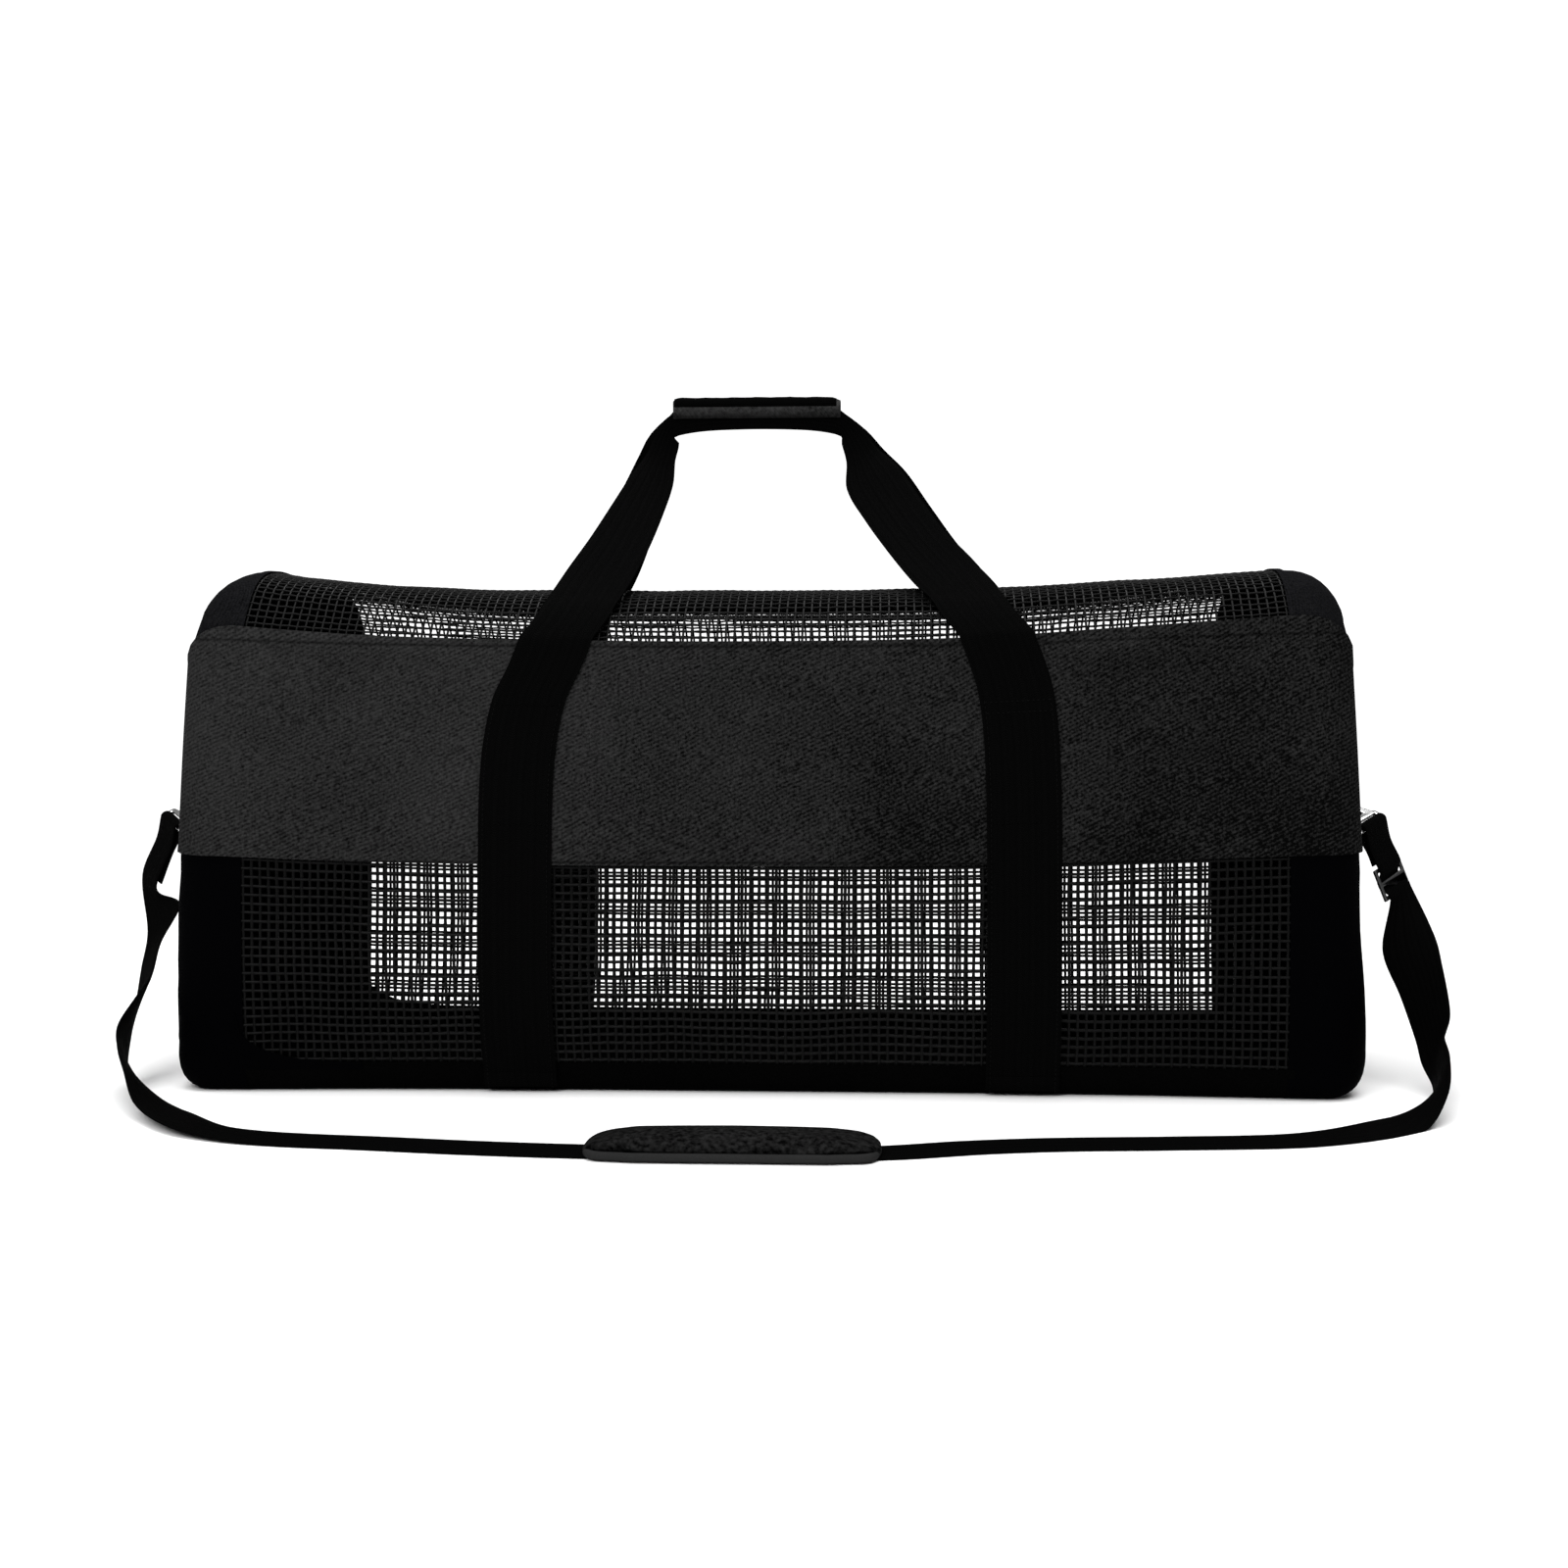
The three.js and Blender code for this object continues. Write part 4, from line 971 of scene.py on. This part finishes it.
def end_cap(name, end):
    lap = LAP_WIDTH / WRAP_START
    reaches = [1 - lap, 1 - lap / 2, 1, 1.15, 1.5, 2, *cuts(2, 3, 10)[1:], *cuts(3, 4, 22)[1:]]
    acrosses = cuts(0, 6, 168)[:-1]

    def offsets(along, across, point):
        reach = abs(along)
        lapped = clamp((1.1 - reach) / 0.1, 0, 1)
        floor = clamp(point.z / 6, 0, 1)
        free = clamp((reach - 1.2) / 0.8, 0, 1) * floor * clamp(4 - reach, 0.3, 1)
        wander = noise.noise(point / 75 + Vector((end * 5, 0, 0)))
        dent = noise.noise(point / 32 + Vector((end * 2, 6, 0)))
        under_band = abs(point.y) > 120 and BAND_FOOT - 6 < point.z < SEAM_HEIGHT + 4
        push = (2.2 * wander + 0.9 * dent) * free
        if under_band:
            push = min(push, 0) * 0.5
        high = 0.3 + 0.5 * lapped * floor
        low = (0.1 if lapped > 0.4 else -1.3) * floor
        return high + push - 0.3 * (1 - floor), low + push - 1.3 * (1 - floor)

    layers = skin_layers([end * r for r in reaches], acrosses, offsets)
    return one_wall(name, CAP_CLOTH, layers, True), grid_area(layers[0])


def grid_area(grid):
    """The area in square metres of a layer whose columns close on themselves."""
    area = 0.0
    for line, after in zip(grid, grid[1:]):
        for k in range(len(line)):
            across = line[(k + 1) % len(line)] - line[k]
            away = after[k] - line[k]
            area += across.cross(away).length
    return area * MM * MM


for name, end in (("end_cap_left", -1), ("end_cap_right", 1)):
    cap, cap_area = end_cap(name + "_cloth", end)
    rides(cap, "cap_cloth", name)


def base():
    lap = LAP_WIDTH / WALL_RISE
    half = [0.5, 0.6, 0.7, 0.8, 0.9, 1, 1 + lap / 2, 1 + lap]
    acrosses = [-v for v in reversed(half)] + [-0.25, 0, 0.25] + half
    alongs = cuts(-0.999, 0.999, 60)

    def offsets(along, across, point):
        lapped = clamp((point.z - 6) / 8, 0, 1)
        return 0.9 * lapped, (0.1 if lapped > 0.95 else -1.4) if lapped > 0 else -1.4

    layers = skin_layers(alongs, [v % 6 if v < 0 else v for v in acrosses], offsets)
    return one_wall("base_cloth_panel", BASE_CLOTH, layers), flat_size(layers[0])


base_panel, base_size = base()
rides(base_panel, "base_cloth", "base_panel")


# Cloth corners that round the lower left ends of the net windows
PATCH_LENGTH = 85
PATCH_RISE = 33
PATCH_SQUARE = 2.6
PATCH_SKINS = (1.15, 0.1)


def corner_patch(shell, front):
    layers = ([], [], [])
    for away in cuts(-3, PATCH_LENGTH, 30):
        left = clamp(1 - max(away, 0) / PATCH_LENGTH, 0, 1)
        rise = 5 + PATCH_RISE * (1 - (1 - left ** PATCH_SQUARE) ** (1 / PATCH_SQUARE))
        rows = ([], [], [])
        for share in cuts(0, 1, 8):
            level = facing([1 + rise * share / WALL_RISE], front)[0]
            along = away / WRAP_START - 1
            point = skin(along, level)
            normal = skin_normal(along, level)
            hem = 0.35 * math.exp(-(((1 - share) * rise / 3) ** 2))
            rows[0].append(point + normal * (PATCH_SKINS[0] + hem))
            rows[1].append(point + normal * PATCH_SKINS[1])
            rows[2].append((point.x * MM, rise * share * MM))
        add_lines(layers, rows)
    shell.wall(*layers)


patches = Shell()
for front in (True, False):
    corner_patch(patches, front)
rides(patches.piece("net_corner_patches", CAP_CLOTH), "cap_cloth")


# Webbing: each station holds its middle, its way and width across, its face and its share folded
def station(low, high, face, fold=0.0):
    return {"middle": (low + high) / 2, "across": high - low, "face": face, "fold": fold}


def centred(point, way, width, face, fold=0.0):
    half = way * width / 2
    return station(point - half, point + half, face, fold)


def smooth_run(rows, step):
    """Stations along a smooth run through the given ones, about a step apart."""
    at = 0.0
    marks = []
    for k, row in enumerate(rows):
        if k:
            at += max((row["middle"] - rows[k - 1]["middle"]).length, 0.2)
        marks.append({**row, "at": at})
    result = []
    for k in range(len(marks) - 1):
        span = marks[k + 1]["at"] - marks[k]["at"]
        count = max(1, round(span / step))
        for n in range(count):
            spot = marks[k]["at"] + span * n / count
            here = {key: read_row(marks, spot, key) for key in ("middle", "across", "face", "fold")}
            result.append({**here, "at": spot})
    result.append(marks[-1])
    return result


FLAP_COLUMNS = 4
FACE_COLUMNS = 12
COLUMNS = FLAP_COLUMNS + FACE_COLUMNS
SELVEDGE_RIDGE = 0.12


def strap_section(row, full_width, slim):
    """Outer and inner points across the webbing, its surplus width folded away behind."""
    width = row["across"].length
    across = row["across"].normalized()
    face = row["face"].normalized()
    surplus = clamp(full_width - width, 0, width - 2) if row["fold"] > 0.02 else 0.0
    turned_in = clamp(surplus / 6, 0, 1)
    flap = max(surplus, 0.6)
    outer, inner = [], []
    for k in range(COLUMNS + 1):
        if k < FLAP_COLUMNS:
            away = flap * (1 - k / FLAP_COLUMNS)
            a = -width / 2 + away * turned_in
            d = -(slim + 0.5) * turned_in
            side = mix(1, -1, turned_in)
            edge = flap - away
        else:
            share = (k - FLAP_COLUMNS) / FACE_COLUMNS
            a = mix(-width / 2, width / 2, share)
            d = 0.0
            side = 1
            edge = min(share, 1 - share) * width
        ridge = SELVEDGE_RIDGE * math.exp(-((edge - 2.5) ** 2))
        round_off = 0.35 * math.exp(-((edge / 0.9) ** 2))
        here = row["middle"] + across * a + face * d
        outer.append(here + face * side * (slim / 2 - round_off + ridge))
        inner.append(here - face * side * (slim / 2 - round_off))
    return outer, inner


def webbing(name, rows, full_width, slim, step=5):
    layers = ([], [], [])
    for row in smooth_run(rows, step):
        near, far = strap_section(row, full_width, slim)
        chart = [(row["at"] * MM, full_width * k / COLUMNS * MM) for k in range(COLUMNS + 1)]
        add_lines(layers, (near, far, chart))
    return one_wall(name, STRAP_WEB, layers)


BAND_THICK = 2
HANDLE_SLIM = 1.7
STRAP_SLIM = 1.8
HANDLE_OFFSET = CLEAR + BAND_THICK + CLEAR + WEBBING / 2
GRIP_CENTRE = GRIP_TOP - WRAP_THICK - CLEAR - FOLD_HEIGHT / 2
GRIP_ROOM = FOLD_THICK + CLEAR * 2
GRIP_LEFT = GRIP_SHIFT - GRIP_LENGTH / 2
GRIP_RIGHT = GRIP_SHIFT + GRIP_LENGTH / 2


def flat_station(point, heading, face, width, fold=0.0):
    across = face.cross(heading).normalized()
    outward = heading.cross(across).normalized()
    return centred(point, across, width, outward, fold)


def handle_side(front, side, foot, grip_x):
    rows = []
    lean = side if front else "rear"
    for level in [*cuts(0.8, 1.9, 44), *cuts(1.9, 2.2, 24)[1:]]:
        x = mix(foot, grip_x, read_row(LEAN_ROWS, level, lean))
        across = level if front else 6 - level
        edges = []
        for shift in (-HANDLE_WIDTH / 2, HANDLE_WIDTH / 2):
            along = (x + shift) / WRAP_START
            edges.append(skin(along, across) + skin_normal(along, across) * HANDLE_OFFSET)
        rows.append(station(edges[0], edges[1], skin_normal(x / WRAP_START, across)))
    start = rows[-1]["middle"]
    lift = rows[-1]["face"]
    side_y = -1 if front else 1
    stop_z = GRIP_CENTRE - GRIP_ROWS[0]["drop"] * FOLD_HEIGHT
    stop = Vector((grip_x, side_y * GRIP_ROOM / 2, stop_z))
    path = [start]
    for row in FREE_ROWS:
        path.append(Vector((
            mix(start.x, stop.x, row["run"]),
            mix(start.y, stop.y, row["back"]),
            mix(start.z, stop.z, row["up"]),
        )))
    path.append(stop)
    for k, row in enumerate(FREE_ROWS):
        heading = (path[k + 2] - path[k]).normalized()
        face = lift.lerp(Vector((0, side_y, 0)), min(1, row["back"] * 1.2)).normalized()
        width = mix(HANDLE_WIDTH, FOLD_HEIGHT, row[side])
        made = flat_station(path[k + 1], heading, face, width, row[side])
        if made["across"].x < 0:
            made["across"] = -made["across"]
        rows.append(made)
    return rows


def handle(name, front, feet):
    left = handle_side(front, "left", feet[0], GRIP_LEFT)
    right = handle_side(front, "right", feet[1], GRIP_RIGHT)
    side_y = -1 if front else 1
    middle = []
    for row in GRIP_ROWS:
        x = mix(GRIP_LEFT, GRIP_RIGHT, row["at"])
        point = Vector((x, side_y * GRIP_ROOM / 2, GRIP_CENTRE - row["drop"] * FOLD_HEIGHT))
        half = Vector((0, 0, FOLD_HEIGHT / 2))
        middle.append(station(point + half, point - half, Vector((0, side_y, 0)), 1.0))
    down = [{**row, "across": -row["across"]} for row in reversed(right)]
    rows = left + middle + down
    return webbing(name, rows, HANDLE_WIDTH, HANDLE_SLIM), left, right


handle_sides = []
for node, front, feet in (("front_handle", True, FRONT_FEET), ("rear_handle", False, REAR_FEET)):
    piece, left, right = handle(node + "_webbing", front, feet)
    rides(piece, "webbing", node)
    handle_sides += [left, right]


# Shoulder strap, its rings and tabs
TURN_RADIUS = RING_WIRE * math.sqrt(0.5) + CLEAR + WEBBING / 2
LAP = WEBBING / 2 + CLEAR
TURN_END = 16


def at_end(end, way):
    return Vector((end * way[0], way[1], way[2]))


def square_to(bar, way):
    return (way - bar * way.dot(bar)).normalized()


def ring_frame(end, standoff):
    bar = at_end(end, RING_BAR).normalized()
    centre = Vector((end * (wall_x(RING_HEIGHT) + standoff), -RING_AHEAD, RING_HEIGHT))
    return end, bar, centre, square_to(bar, at_end(end, RING_WAY))


def turn_stations(centre, bar, ahead, outer, width):
    rows = []
    for angle in cuts(0, math.pi, 10):
        spoke = (outer * math.cos(angle) + ahead * math.sin(angle)).normalized()
        point = centre + spoke * TURN_RADIUS
        rows.append(centred(point, bar, width, spoke))
    return rows


def ring_tab(ring):
    end, bar, centre, rise = ring
    hold = centre + rise * RING_RISE
    layers = (CLEAR + WEBBING / 2, 2 * CLEAR + WEBBING * 1.5)
    sewn = (hold.z + TAB_TOP, hold.z + TAB_FOOT)
    span_y = -1 if bar.y < 0 else 1

    def flat(z, layer):
        x = end * (wall_x(z) + END_BULGE + layers[layer])
        side = -1 if layer == 0 else 1
        low = Vector((x, hold.y - span_y * TAB_WIDTH / 2, z))
        high = Vector((x, hold.y + span_y * TAB_WIDTH / 2, z))
        return station(low, high, Vector((end * side, 0, 0)))

    to_wall = (Vector((end * (wall_x(sewn[1]) + END_BULGE), hold.y, sewn[1])) - hold).normalized()
    ahead = square_to(bar, -to_wall)
    outer = bar.cross(ahead).normalized()
    under = outer if outer.x * end < 0 else -outer
    turn = turn_stations(hold, bar, ahead, under, TAB_WIDTH)
    rows = [flat(sewn[0], 0), flat(mix(*sewn, 0.5), 0), flat(sewn[1], 0), *turn]
    return rows + [flat(sewn[1], 1), flat(mix(*sewn, 0.5), 1), flat(sewn[0], 1)]


def strap_frame(ring):
    end, bar, centre, _ = ring
    down = square_to(bar, at_end(end, STRAP_WAY))
    outer = bar.cross(down).normalized()
    if outer.y > 0:
        outer = -outer
    return centre, down, outer, outer.cross(down).normalized()


def strap_top(hold, tail_length, steps):
    centre, down, outer, edge = hold

    def at(along, out, face):
        point = centre + down * along + outer * out
        return centred(point, edge, STRAP_WIDTH, face)

    tail = [at(tail_length, -LAP, -outer), at(TURN_END, -LAP, -outer)]
    turn = turn_stations(centre, edge, -down, -outer, STRAP_WIDTH)
    return tail + turn + [at(along, out, outer) for along, out in steps]


def on_floor(row):
    half = row["across"] / 2
    thick = row["face"].z * WEBBING / 2
    corners = [(side, up) for side in (-1, 1) for up in (-1, 1)]
    lowest = min((row["middle"] + half * side).z + up * thick for side, up in corners)
    row["middle"] = row["middle"] + Vector((0, 0, max(0, -lowest)))
    return row


def strap_run(rows, end, before):
    points = []
    for row in rows:
        out, ahead = end * row["out"] * STRAP_SPREAD, -row["ahead"] * STRAP_REACH
        points.append(Vector((out, ahead, row["up"] * RING_HEIGHT)))
    path = [before, *points]
    result = []
    for k, row in enumerate(rows):
        heading = (path[min(k + 2, len(rows))] - path[k]).normalized()
        face = Vector(row["face"]).normalized()
        result.append(on_floor(flat_station(points[k], heading, face, STRAP_WIDTH)))
    return result


SLIDER_WEAVE = SLIDER_PLATE / 2 + CLEAR + WEBBING / 2
SLIDER_MIDDLE = SLIDER_DROP + SLIDER_FRAME / 2
SLIDER_EASE = SLIDER_BAR / 2 + CLEAR * 2
RIGHT_STEPS = (
    (TURN_END, LAP),
    (SLIDER_DROP - CLEAR, SLIDER_WEAVE),
    (SLIDER_DROP + SLIDER_BAR + CLEAR * 2, SLIDER_WEAVE),
    (SLIDER_MIDDLE - SLIDER_EASE, -SLIDER_WEAVE),
    (SLIDER_MIDDLE + SLIDER_EASE, -SLIDER_WEAVE),
    (SLIDER_DROP + SLIDER_FRAME - SLIDER_BAR - CLEAR * 2, SLIDER_WEAVE),
    (SLIDER_DROP + SLIDER_FRAME + CLEAR, SLIDER_WEAVE),
)
LEFT_STEPS = ((TURN_END, LAP), (LOOP_OPEN, LAP))


RINGS = [ring_frame(-1, STANDOFFS[0]), ring_frame(1, STANDOFFS[1])]
left_top = strap_top(strap_frame(RINGS[0]), LOOP_SEWN, LEFT_STEPS)
right_top = strap_top(strap_frame(RINGS[1]), TAIL_LENGTH, RIGHT_STEPS)
left_run = strap_run(LEFT_STRAP, -1, left_top[-1]["middle"])
right_run = strap_run(RIGHT_STRAP, 1, right_top[-1]["middle"])
right_back = [{**row, "face": -row["face"]} for row in reversed(right_top + right_run)]
strap_rows = left_top + left_run + right_back
shoulder_strap = webbing("shoulder_strap_webbing", strap_rows, STRAP_WIDTH, STRAP_SLIM, step=4)
rides(shoulder_strap, "webbing", "shoulder_strap")
for ring, side in zip(RINGS, ("left", "right")):
    tab = webbing(f"ring_tab_{side}_webbing", ring_tab(ring), TAB_WIDTH, STRAP_SLIM, step=3)
    rides(tab, "webbing", f"ring_tab_{side}")


# Hard pieces keep their solids' shape, with rounded edges
def rounded(name, node, width, material, slot):
    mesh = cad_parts[node].data.copy()
    shape = welded(mesh)
    every = {"verts": shape.verts, "edges": shape.edges}
    bmesh.ops.dissolve_limit(shape, angle_limit=math.radians(1), **every)
    put_back(shape, mesh)
    piece = new_object(name, mesh)
    bevel = piece.modifiers.new("edges", "BEVEL")
    bevel.width = width * MM
    bevel.segments = 3
    bevel.limit_method = "ANGLE"
    bevel.angle_limit = math.radians(30)
    result = modified(piece)
    smoothed(result, material)
    result.set_sharp_from_angle(angle=math.radians(SHARP_DEGREES))
    return rides(piece, slot, node)


for side in ("left", "right"):
    rounded(f"ring_{side}_metal", f"strap_ring_{side}", 1.1, RING_METAL, "ring_metal")
rounded("strap_slider_metal", "strap_slider", 0.7, SLIDER_METAL, "slider_metal")
rounded("zip_slider_metal", "zip_slider", 0.5, SLIDER_METAL, "slider_metal")


# Grip: a padded sleeve folded over both handles, and the flap that closes it over the top
SLEEVE_CORNER = 4.0
WRAP_SKINS = (-2.7, -0.5)
FLAP_SKINS = (-0.2, 0.9)
SLEEVE_HALF = GRIP_ROOM + CLEAR + WRAP_THICK


def sleeve_way(low_front, low_back):
    """The sleeve's way round the grip, from the low front edge over the top to the low back one."""
    half, corner = SLEEVE_HALF, SLEEVE_CORNER
    turn = GRIP_TOP - corner
    way = [Vector((0, -half, z)) for z in cuts(low_front, turn, 5)]
    for angle in cuts(0, math.pi / 2, 6)[1:]:
        across = -half + corner * (1 - math.cos(angle))
        way.append(Vector((0, across, GRIP_TOP - corner * (1 - math.sin(angle)))))
    for angle in cuts(0, math.pi / 2, 6):
        across = half - corner * (1 - math.sin(angle))
        way.append(Vector((0, across, GRIP_TOP - corner * (1 - math.cos(angle)))))
    return way + [Vector((0, half, z)) for z in cuts(turn, low_back, 5)[1:]]


def sleeve(name, lows, span, skins, material, roundness=0.0):
    """A wall from skins[0] to skins[1] off the way, over the span along the grip."""
    way = sleeve_way(*lows)
    last = len(way) - 1
    layers = ([], [], [])
    for x in cuts(*span, 42):
        end = min(x - span[0], span[1] - x)
        ease = 1.2 * math.exp(-((end / 2.2) ** 2))
        lines = ([], [], [])
        for k, point in enumerate(way):
            run = (way[min(k + 1, last)] - way[max(k - 1, 0)]).normalized()
            normal = Vector((0, -run.z, run.y))
            here = point + Vector((x, 0, 0))
            down = clamp((GRIP_TOP - 3 - here.z) / (WRAP_DROP - 3), 0, 1)
            hem = 0.4 if k in (0, last) else 0
            swell = 0.5 * noise.noise(here / 14) + 0.3 * noise.noise(here / 5)
            swell = swell - ease - 1.9 * down ** 2 * roundness - hem
            lines[0].append(here + normal * (skins[1] + swell))
            lines[1].append(here + normal * (skins[0] + max(swell, -0.3)))
            lines[2].append((x * MM, k * 0.002))
        add_lines(layers, lines)
    return one_wall(name, material, layers)


GRIP_LOW = GRIP_TOP - WRAP_DROP
WRAP_SPAN = (GRIP_LEFT, GRIP_RIGHT)
FLAP_SPAN = (GRIP_LEFT + 1, GRIP_RIGHT - 3)
FLAP_LOWS = (GRIP_TOP - 6.5, GRIP_LOW + 2)
grip = sleeve("grip_wrap", (GRIP_LOW, GRIP_LOW), WRAP_SPAN, WRAP_SKINS, WRAP_CLOTH, 1.0)
rides(grip, "webbing", "handle_wrap")
rides(sleeve("grip_flap", FLAP_LOWS, FLAP_SPAN, FLAP_SKINS, STRAP_WEB), "webbing")


# Zip: woven tapes and a coil of teeth between them
TAPE_SKINS = (1.9, 0.9)


def zip_tape(name, front):
    far = level_at_depth(TAPE_WIDTH + CHAIN_WIDTH / 2)
    near = level_at_depth(CHAIN_WIDTH / 2 + CLEAR)
    levels = facing(cuts(far, near, 10), front)

    def offsets(along, across, point):
        wander = noise.noise(Vector((point.x / 60, across, 0))) * 0.35
        return TAPE_SKINS[0] + wander, TAPE_SKINS[1] + wander

    return one_wall(name, TAPE_WEB, skin_layers(cuts(-0.998, 0.998, 120), levels, offsets))


for node, front in (("zip_tape_front", True), ("zip_tape_rear", False)):
    rides(zip_tape(node + "_weave", front), "webbing", node)

line = [skin(along, 3) for along in cuts(-0.998, 0.9, 80)]
teeth = []
for side in (-1, 1):
    shift = Vector((0.6 * side, 1.5 * side, 0.2))
    row = polylines(f"zip_teeth_{side + 1}", [[p + shift for p in line]])
    teeth.append(TEETH.apply(row, Pitch=TOOTH_PITCH * MM, Size=TOOTH_SIZE, Material=COIL))
rides(joined("zip_coil_teeth", teeth), "webbing", "zip_chain")


# Stitching on the sewn webbing: how far from its middle in shares of its width, and how high
EDGE_SHARE = 0.44
CROSS_SHARE = 0.42
SEWN_TOP = 268
CROSS_LEVELS = (266, 263, 188, 185)


def stitch_line(rows, share, lift=1.05):
    return [row["middle"] + row["across"] * share + row["face"].normalized() * lift for row in rows]


def cross_stitches(rows, level):
    """A row straight across the webbing at one height."""
    nearest = min(rows, key=lambda row: abs(row["middle"].z - level))
    return [stitch_line([nearest], share)[0] for share in (-CROSS_SHARE, CROSS_SHARE)]


sewn_runs = []
for rows in handle_sides:
    sewn = [row for row in rows if row["fold"] == 0 and row["middle"].z < SEWN_TOP]
    sewn_runs += [stitch_line(sewn, share) for share in (-EDGE_SHARE, EDGE_SHARE)]
    sewn_runs += [cross_stitches(sewn, level) for level in CROSS_LEVELS]
stitches = polylines("handle_stitches", sewn_runs)
STITCHES.apply(stitches, Pitch=STITCH_PITCH * MM, Size=STITCH_SIZE, Material=THREAD)
rides(stitches, "webbing")


# Shoulder pad: blown up from a little inside its solid, with a bound edge
PAD_SHRINK = (0.97, 0.94, 0.8)
PAD_VOXEL = 0.004
PAD_PRESSURE = 4
PAD_FRAMES = 20
PAD_MOST = 0.005
PAD_FOOT = 0.0006
PAD_SWELL = 1.5
PAD_SLOPE = 8


def pad():
    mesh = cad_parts["shoulder_pad"].data.copy()
    piece = new_object("shoulder_pad_body", mesh)
    shape = welded(mesh)
    centre = sum((v.co for v in shape.verts), Vector()) / len(shape.verts)
    for vert in shape.verts:
        away = vert.co - centre
        vert.co = centre + Vector([part * share for part, share in zip(away, PAD_SHRINK)])
    put_back(shape, mesh)
    remesh = piece.modifiers.new("even", "REMESH")
    remesh.mode = "VOXEL"
    remesh.voxel_size = PAD_VOXEL
    modified(piece)
    start = [v.co.copy() for v in piece.data.vertices]
    cloth = piece.modifiers.new("cloth", "CLOTH")
    cloth.settings.use_pressure = True
    cloth.settings.uniform_pressure_force = PAD_PRESSURE
    cloth.settings.effector_weights.gravity = 0
    for number in range(1, PAD_FRAMES + 1):
        bpy.context.scene.frame_set(number)
    modified(piece)
    bpy.context.scene.frame_set(1)
    floor = (WEBBING + CLEAR) * MM
    ceiling = floor + (PAD_THICK + PAD_SWELL) * MM
    for vert, before in zip(piece.data.vertices, start):
        move = vert.co - before
        if move.length > PAD_MOST:
            vert.co = before + move.normalized() * PAD_MOST
        past_strap = abs(vert.co.y / MM + PAD_AHEAD) - STRAP_WIDTH / 2 - 1
        lowest = mix(floor, PAD_FOOT, clamp(past_strap / PAD_SLOPE, 0, 1))
        vert.co.z = clamp(vert.co.z, lowest, ceiling)
    fine = piece.modifiers.new("fine", "SUBSURF")
    fine.levels = 1
    fine.render_levels = 1
    smoothed(modified(piece), PAD_NAP)
    return piece


pad_body = rides(pad(), "pad_cloth", "shoulder_pad")


BINDING_RADIUS = 2.6
BINDING_HEIGHT = 3.4
SLICE_HALF = 3.2


def pad_edge():
    """The pad's outline, read from its body at even steps along it."""
    spots = [v.co / MM for v in pad_body.data.vertices]
    low = min(p.x for p in spots) + 0.5
    high = max(p.x for p in spots) - 0.5
    near, far = [], []
    for x in cuts(low, high, 60):
        slice_y = [p.y for p in spots if abs(p.x - x) < SLICE_HALF]
        near.append(Vector((x, min(slice_y), BINDING_HEIGHT)))
        far.append(Vector((x, max(slice_y), BINDING_HEIGHT)))
    loop = near + list(reversed(far))
    count = len(loop)
    for _ in range(3):
        loop = [(loop[k - 1] + loop[k] * 2 + loop[(k + 1) % count]) / 4 for k in range(count)]
    return loop + [loop[0]]


binding = polylines("pad_binding", [pad_edge()])
STRANDS.apply(binding, Radius=BINDING_RADIUS * MM, Sides=12, Material=BINDING)
rides(binding, "pad_cloth")


# Studio: white floor, soft lights and the camera
def area_light(name, place, target, size, power):
    data = bpy.data.lights.new(name, "AREA")
    data.shape = "RECTANGLE"
    data.size, data.size_y = size
    data.energy = power
    lamp = bpy.data.objects.new(name, data)
    lamp.location = place
    lamp.rotation_euler = (Vector(target) - Vector(place)).to_track_quat("-Z", "Y").to_euler()
    bpy.context.scene.collection.objects.link(lamp)


floor_mesh = bpy.data.meshes.new("studio_floor")
FLOOR_CORNERS = [(-1.5, -1.6, 0), (1.5, -1.6, 0), (1.5, 1.4, 0), (-1.5, 1.4, 0)]
floor_mesh.from_pydata(FLOOR_CORNERS, [], [(0, 1, 2, 3)])
floor_mesh.materials.append(studio_white())
new_object("studio_floor", floor_mesh)

# The white behind the bag is bright to the camera, and only a weak fill light on the bag
SEEN_STRENGTH = 1.15
FILL_STRENGTH = 0.25
world = bpy.data.worlds.new("studio_sky")
world.use_nodes = True
sky = world.node_tree
backdrop = sky.nodes["Background"]
dim = sky.nodes.new("ShaderNodeBackground")
for node, strength in ((backdrop, SEEN_STRENGTH), (dim, FILL_STRENGTH)):
    node.inputs["Color"].default_value = (1, 1, 1, 1)
    node.inputs["Strength"].default_value = strength
seen = sky.nodes.new("ShaderNodeLightPath")
either = sky.nodes.new("ShaderNodeMixShader")
sky.links.new(seen.outputs["Is Camera Ray"], either.inputs[0])
sky.links.new(dim.outputs[0], either.inputs[1])
sky.links.new(backdrop.outputs[0], either.inputs[2])
sky.links.new(either.outputs[0], sky.nodes["World Output"].inputs["Surface"])
bpy.context.scene.world = world
area_light("top_softbox", (0.1, 0.1, 3.0), (0, -0.2, 0), (4.6, 4.4), 210)
area_light("front_softbox", (-0.6, -3.0, 1.7), (0, 0, 0.2), (1.6, 1.2), 80)

LENS = 48.98
CAMERA_PLACE = (0.0962, -1.6078, 0.2350)
CAMERA_TILT = 89.10
CAMERA_TURN = 3.163
view = bpy.data.cameras.new("photo_camera")
view.lens = LENS
view.sensor_width = 36
camera = bpy.data.objects.new("photo_camera", view)
camera.location = CAMERA_PLACE
camera.rotation_euler = (math.radians(CAMERA_TILT), 0, math.radians(CAMERA_TURN))
bpy.context.scene.collection.objects.link(camera)
bpy.context.scene.camera = camera
bpy.context.scene.view_settings.view_transform = "Standard"
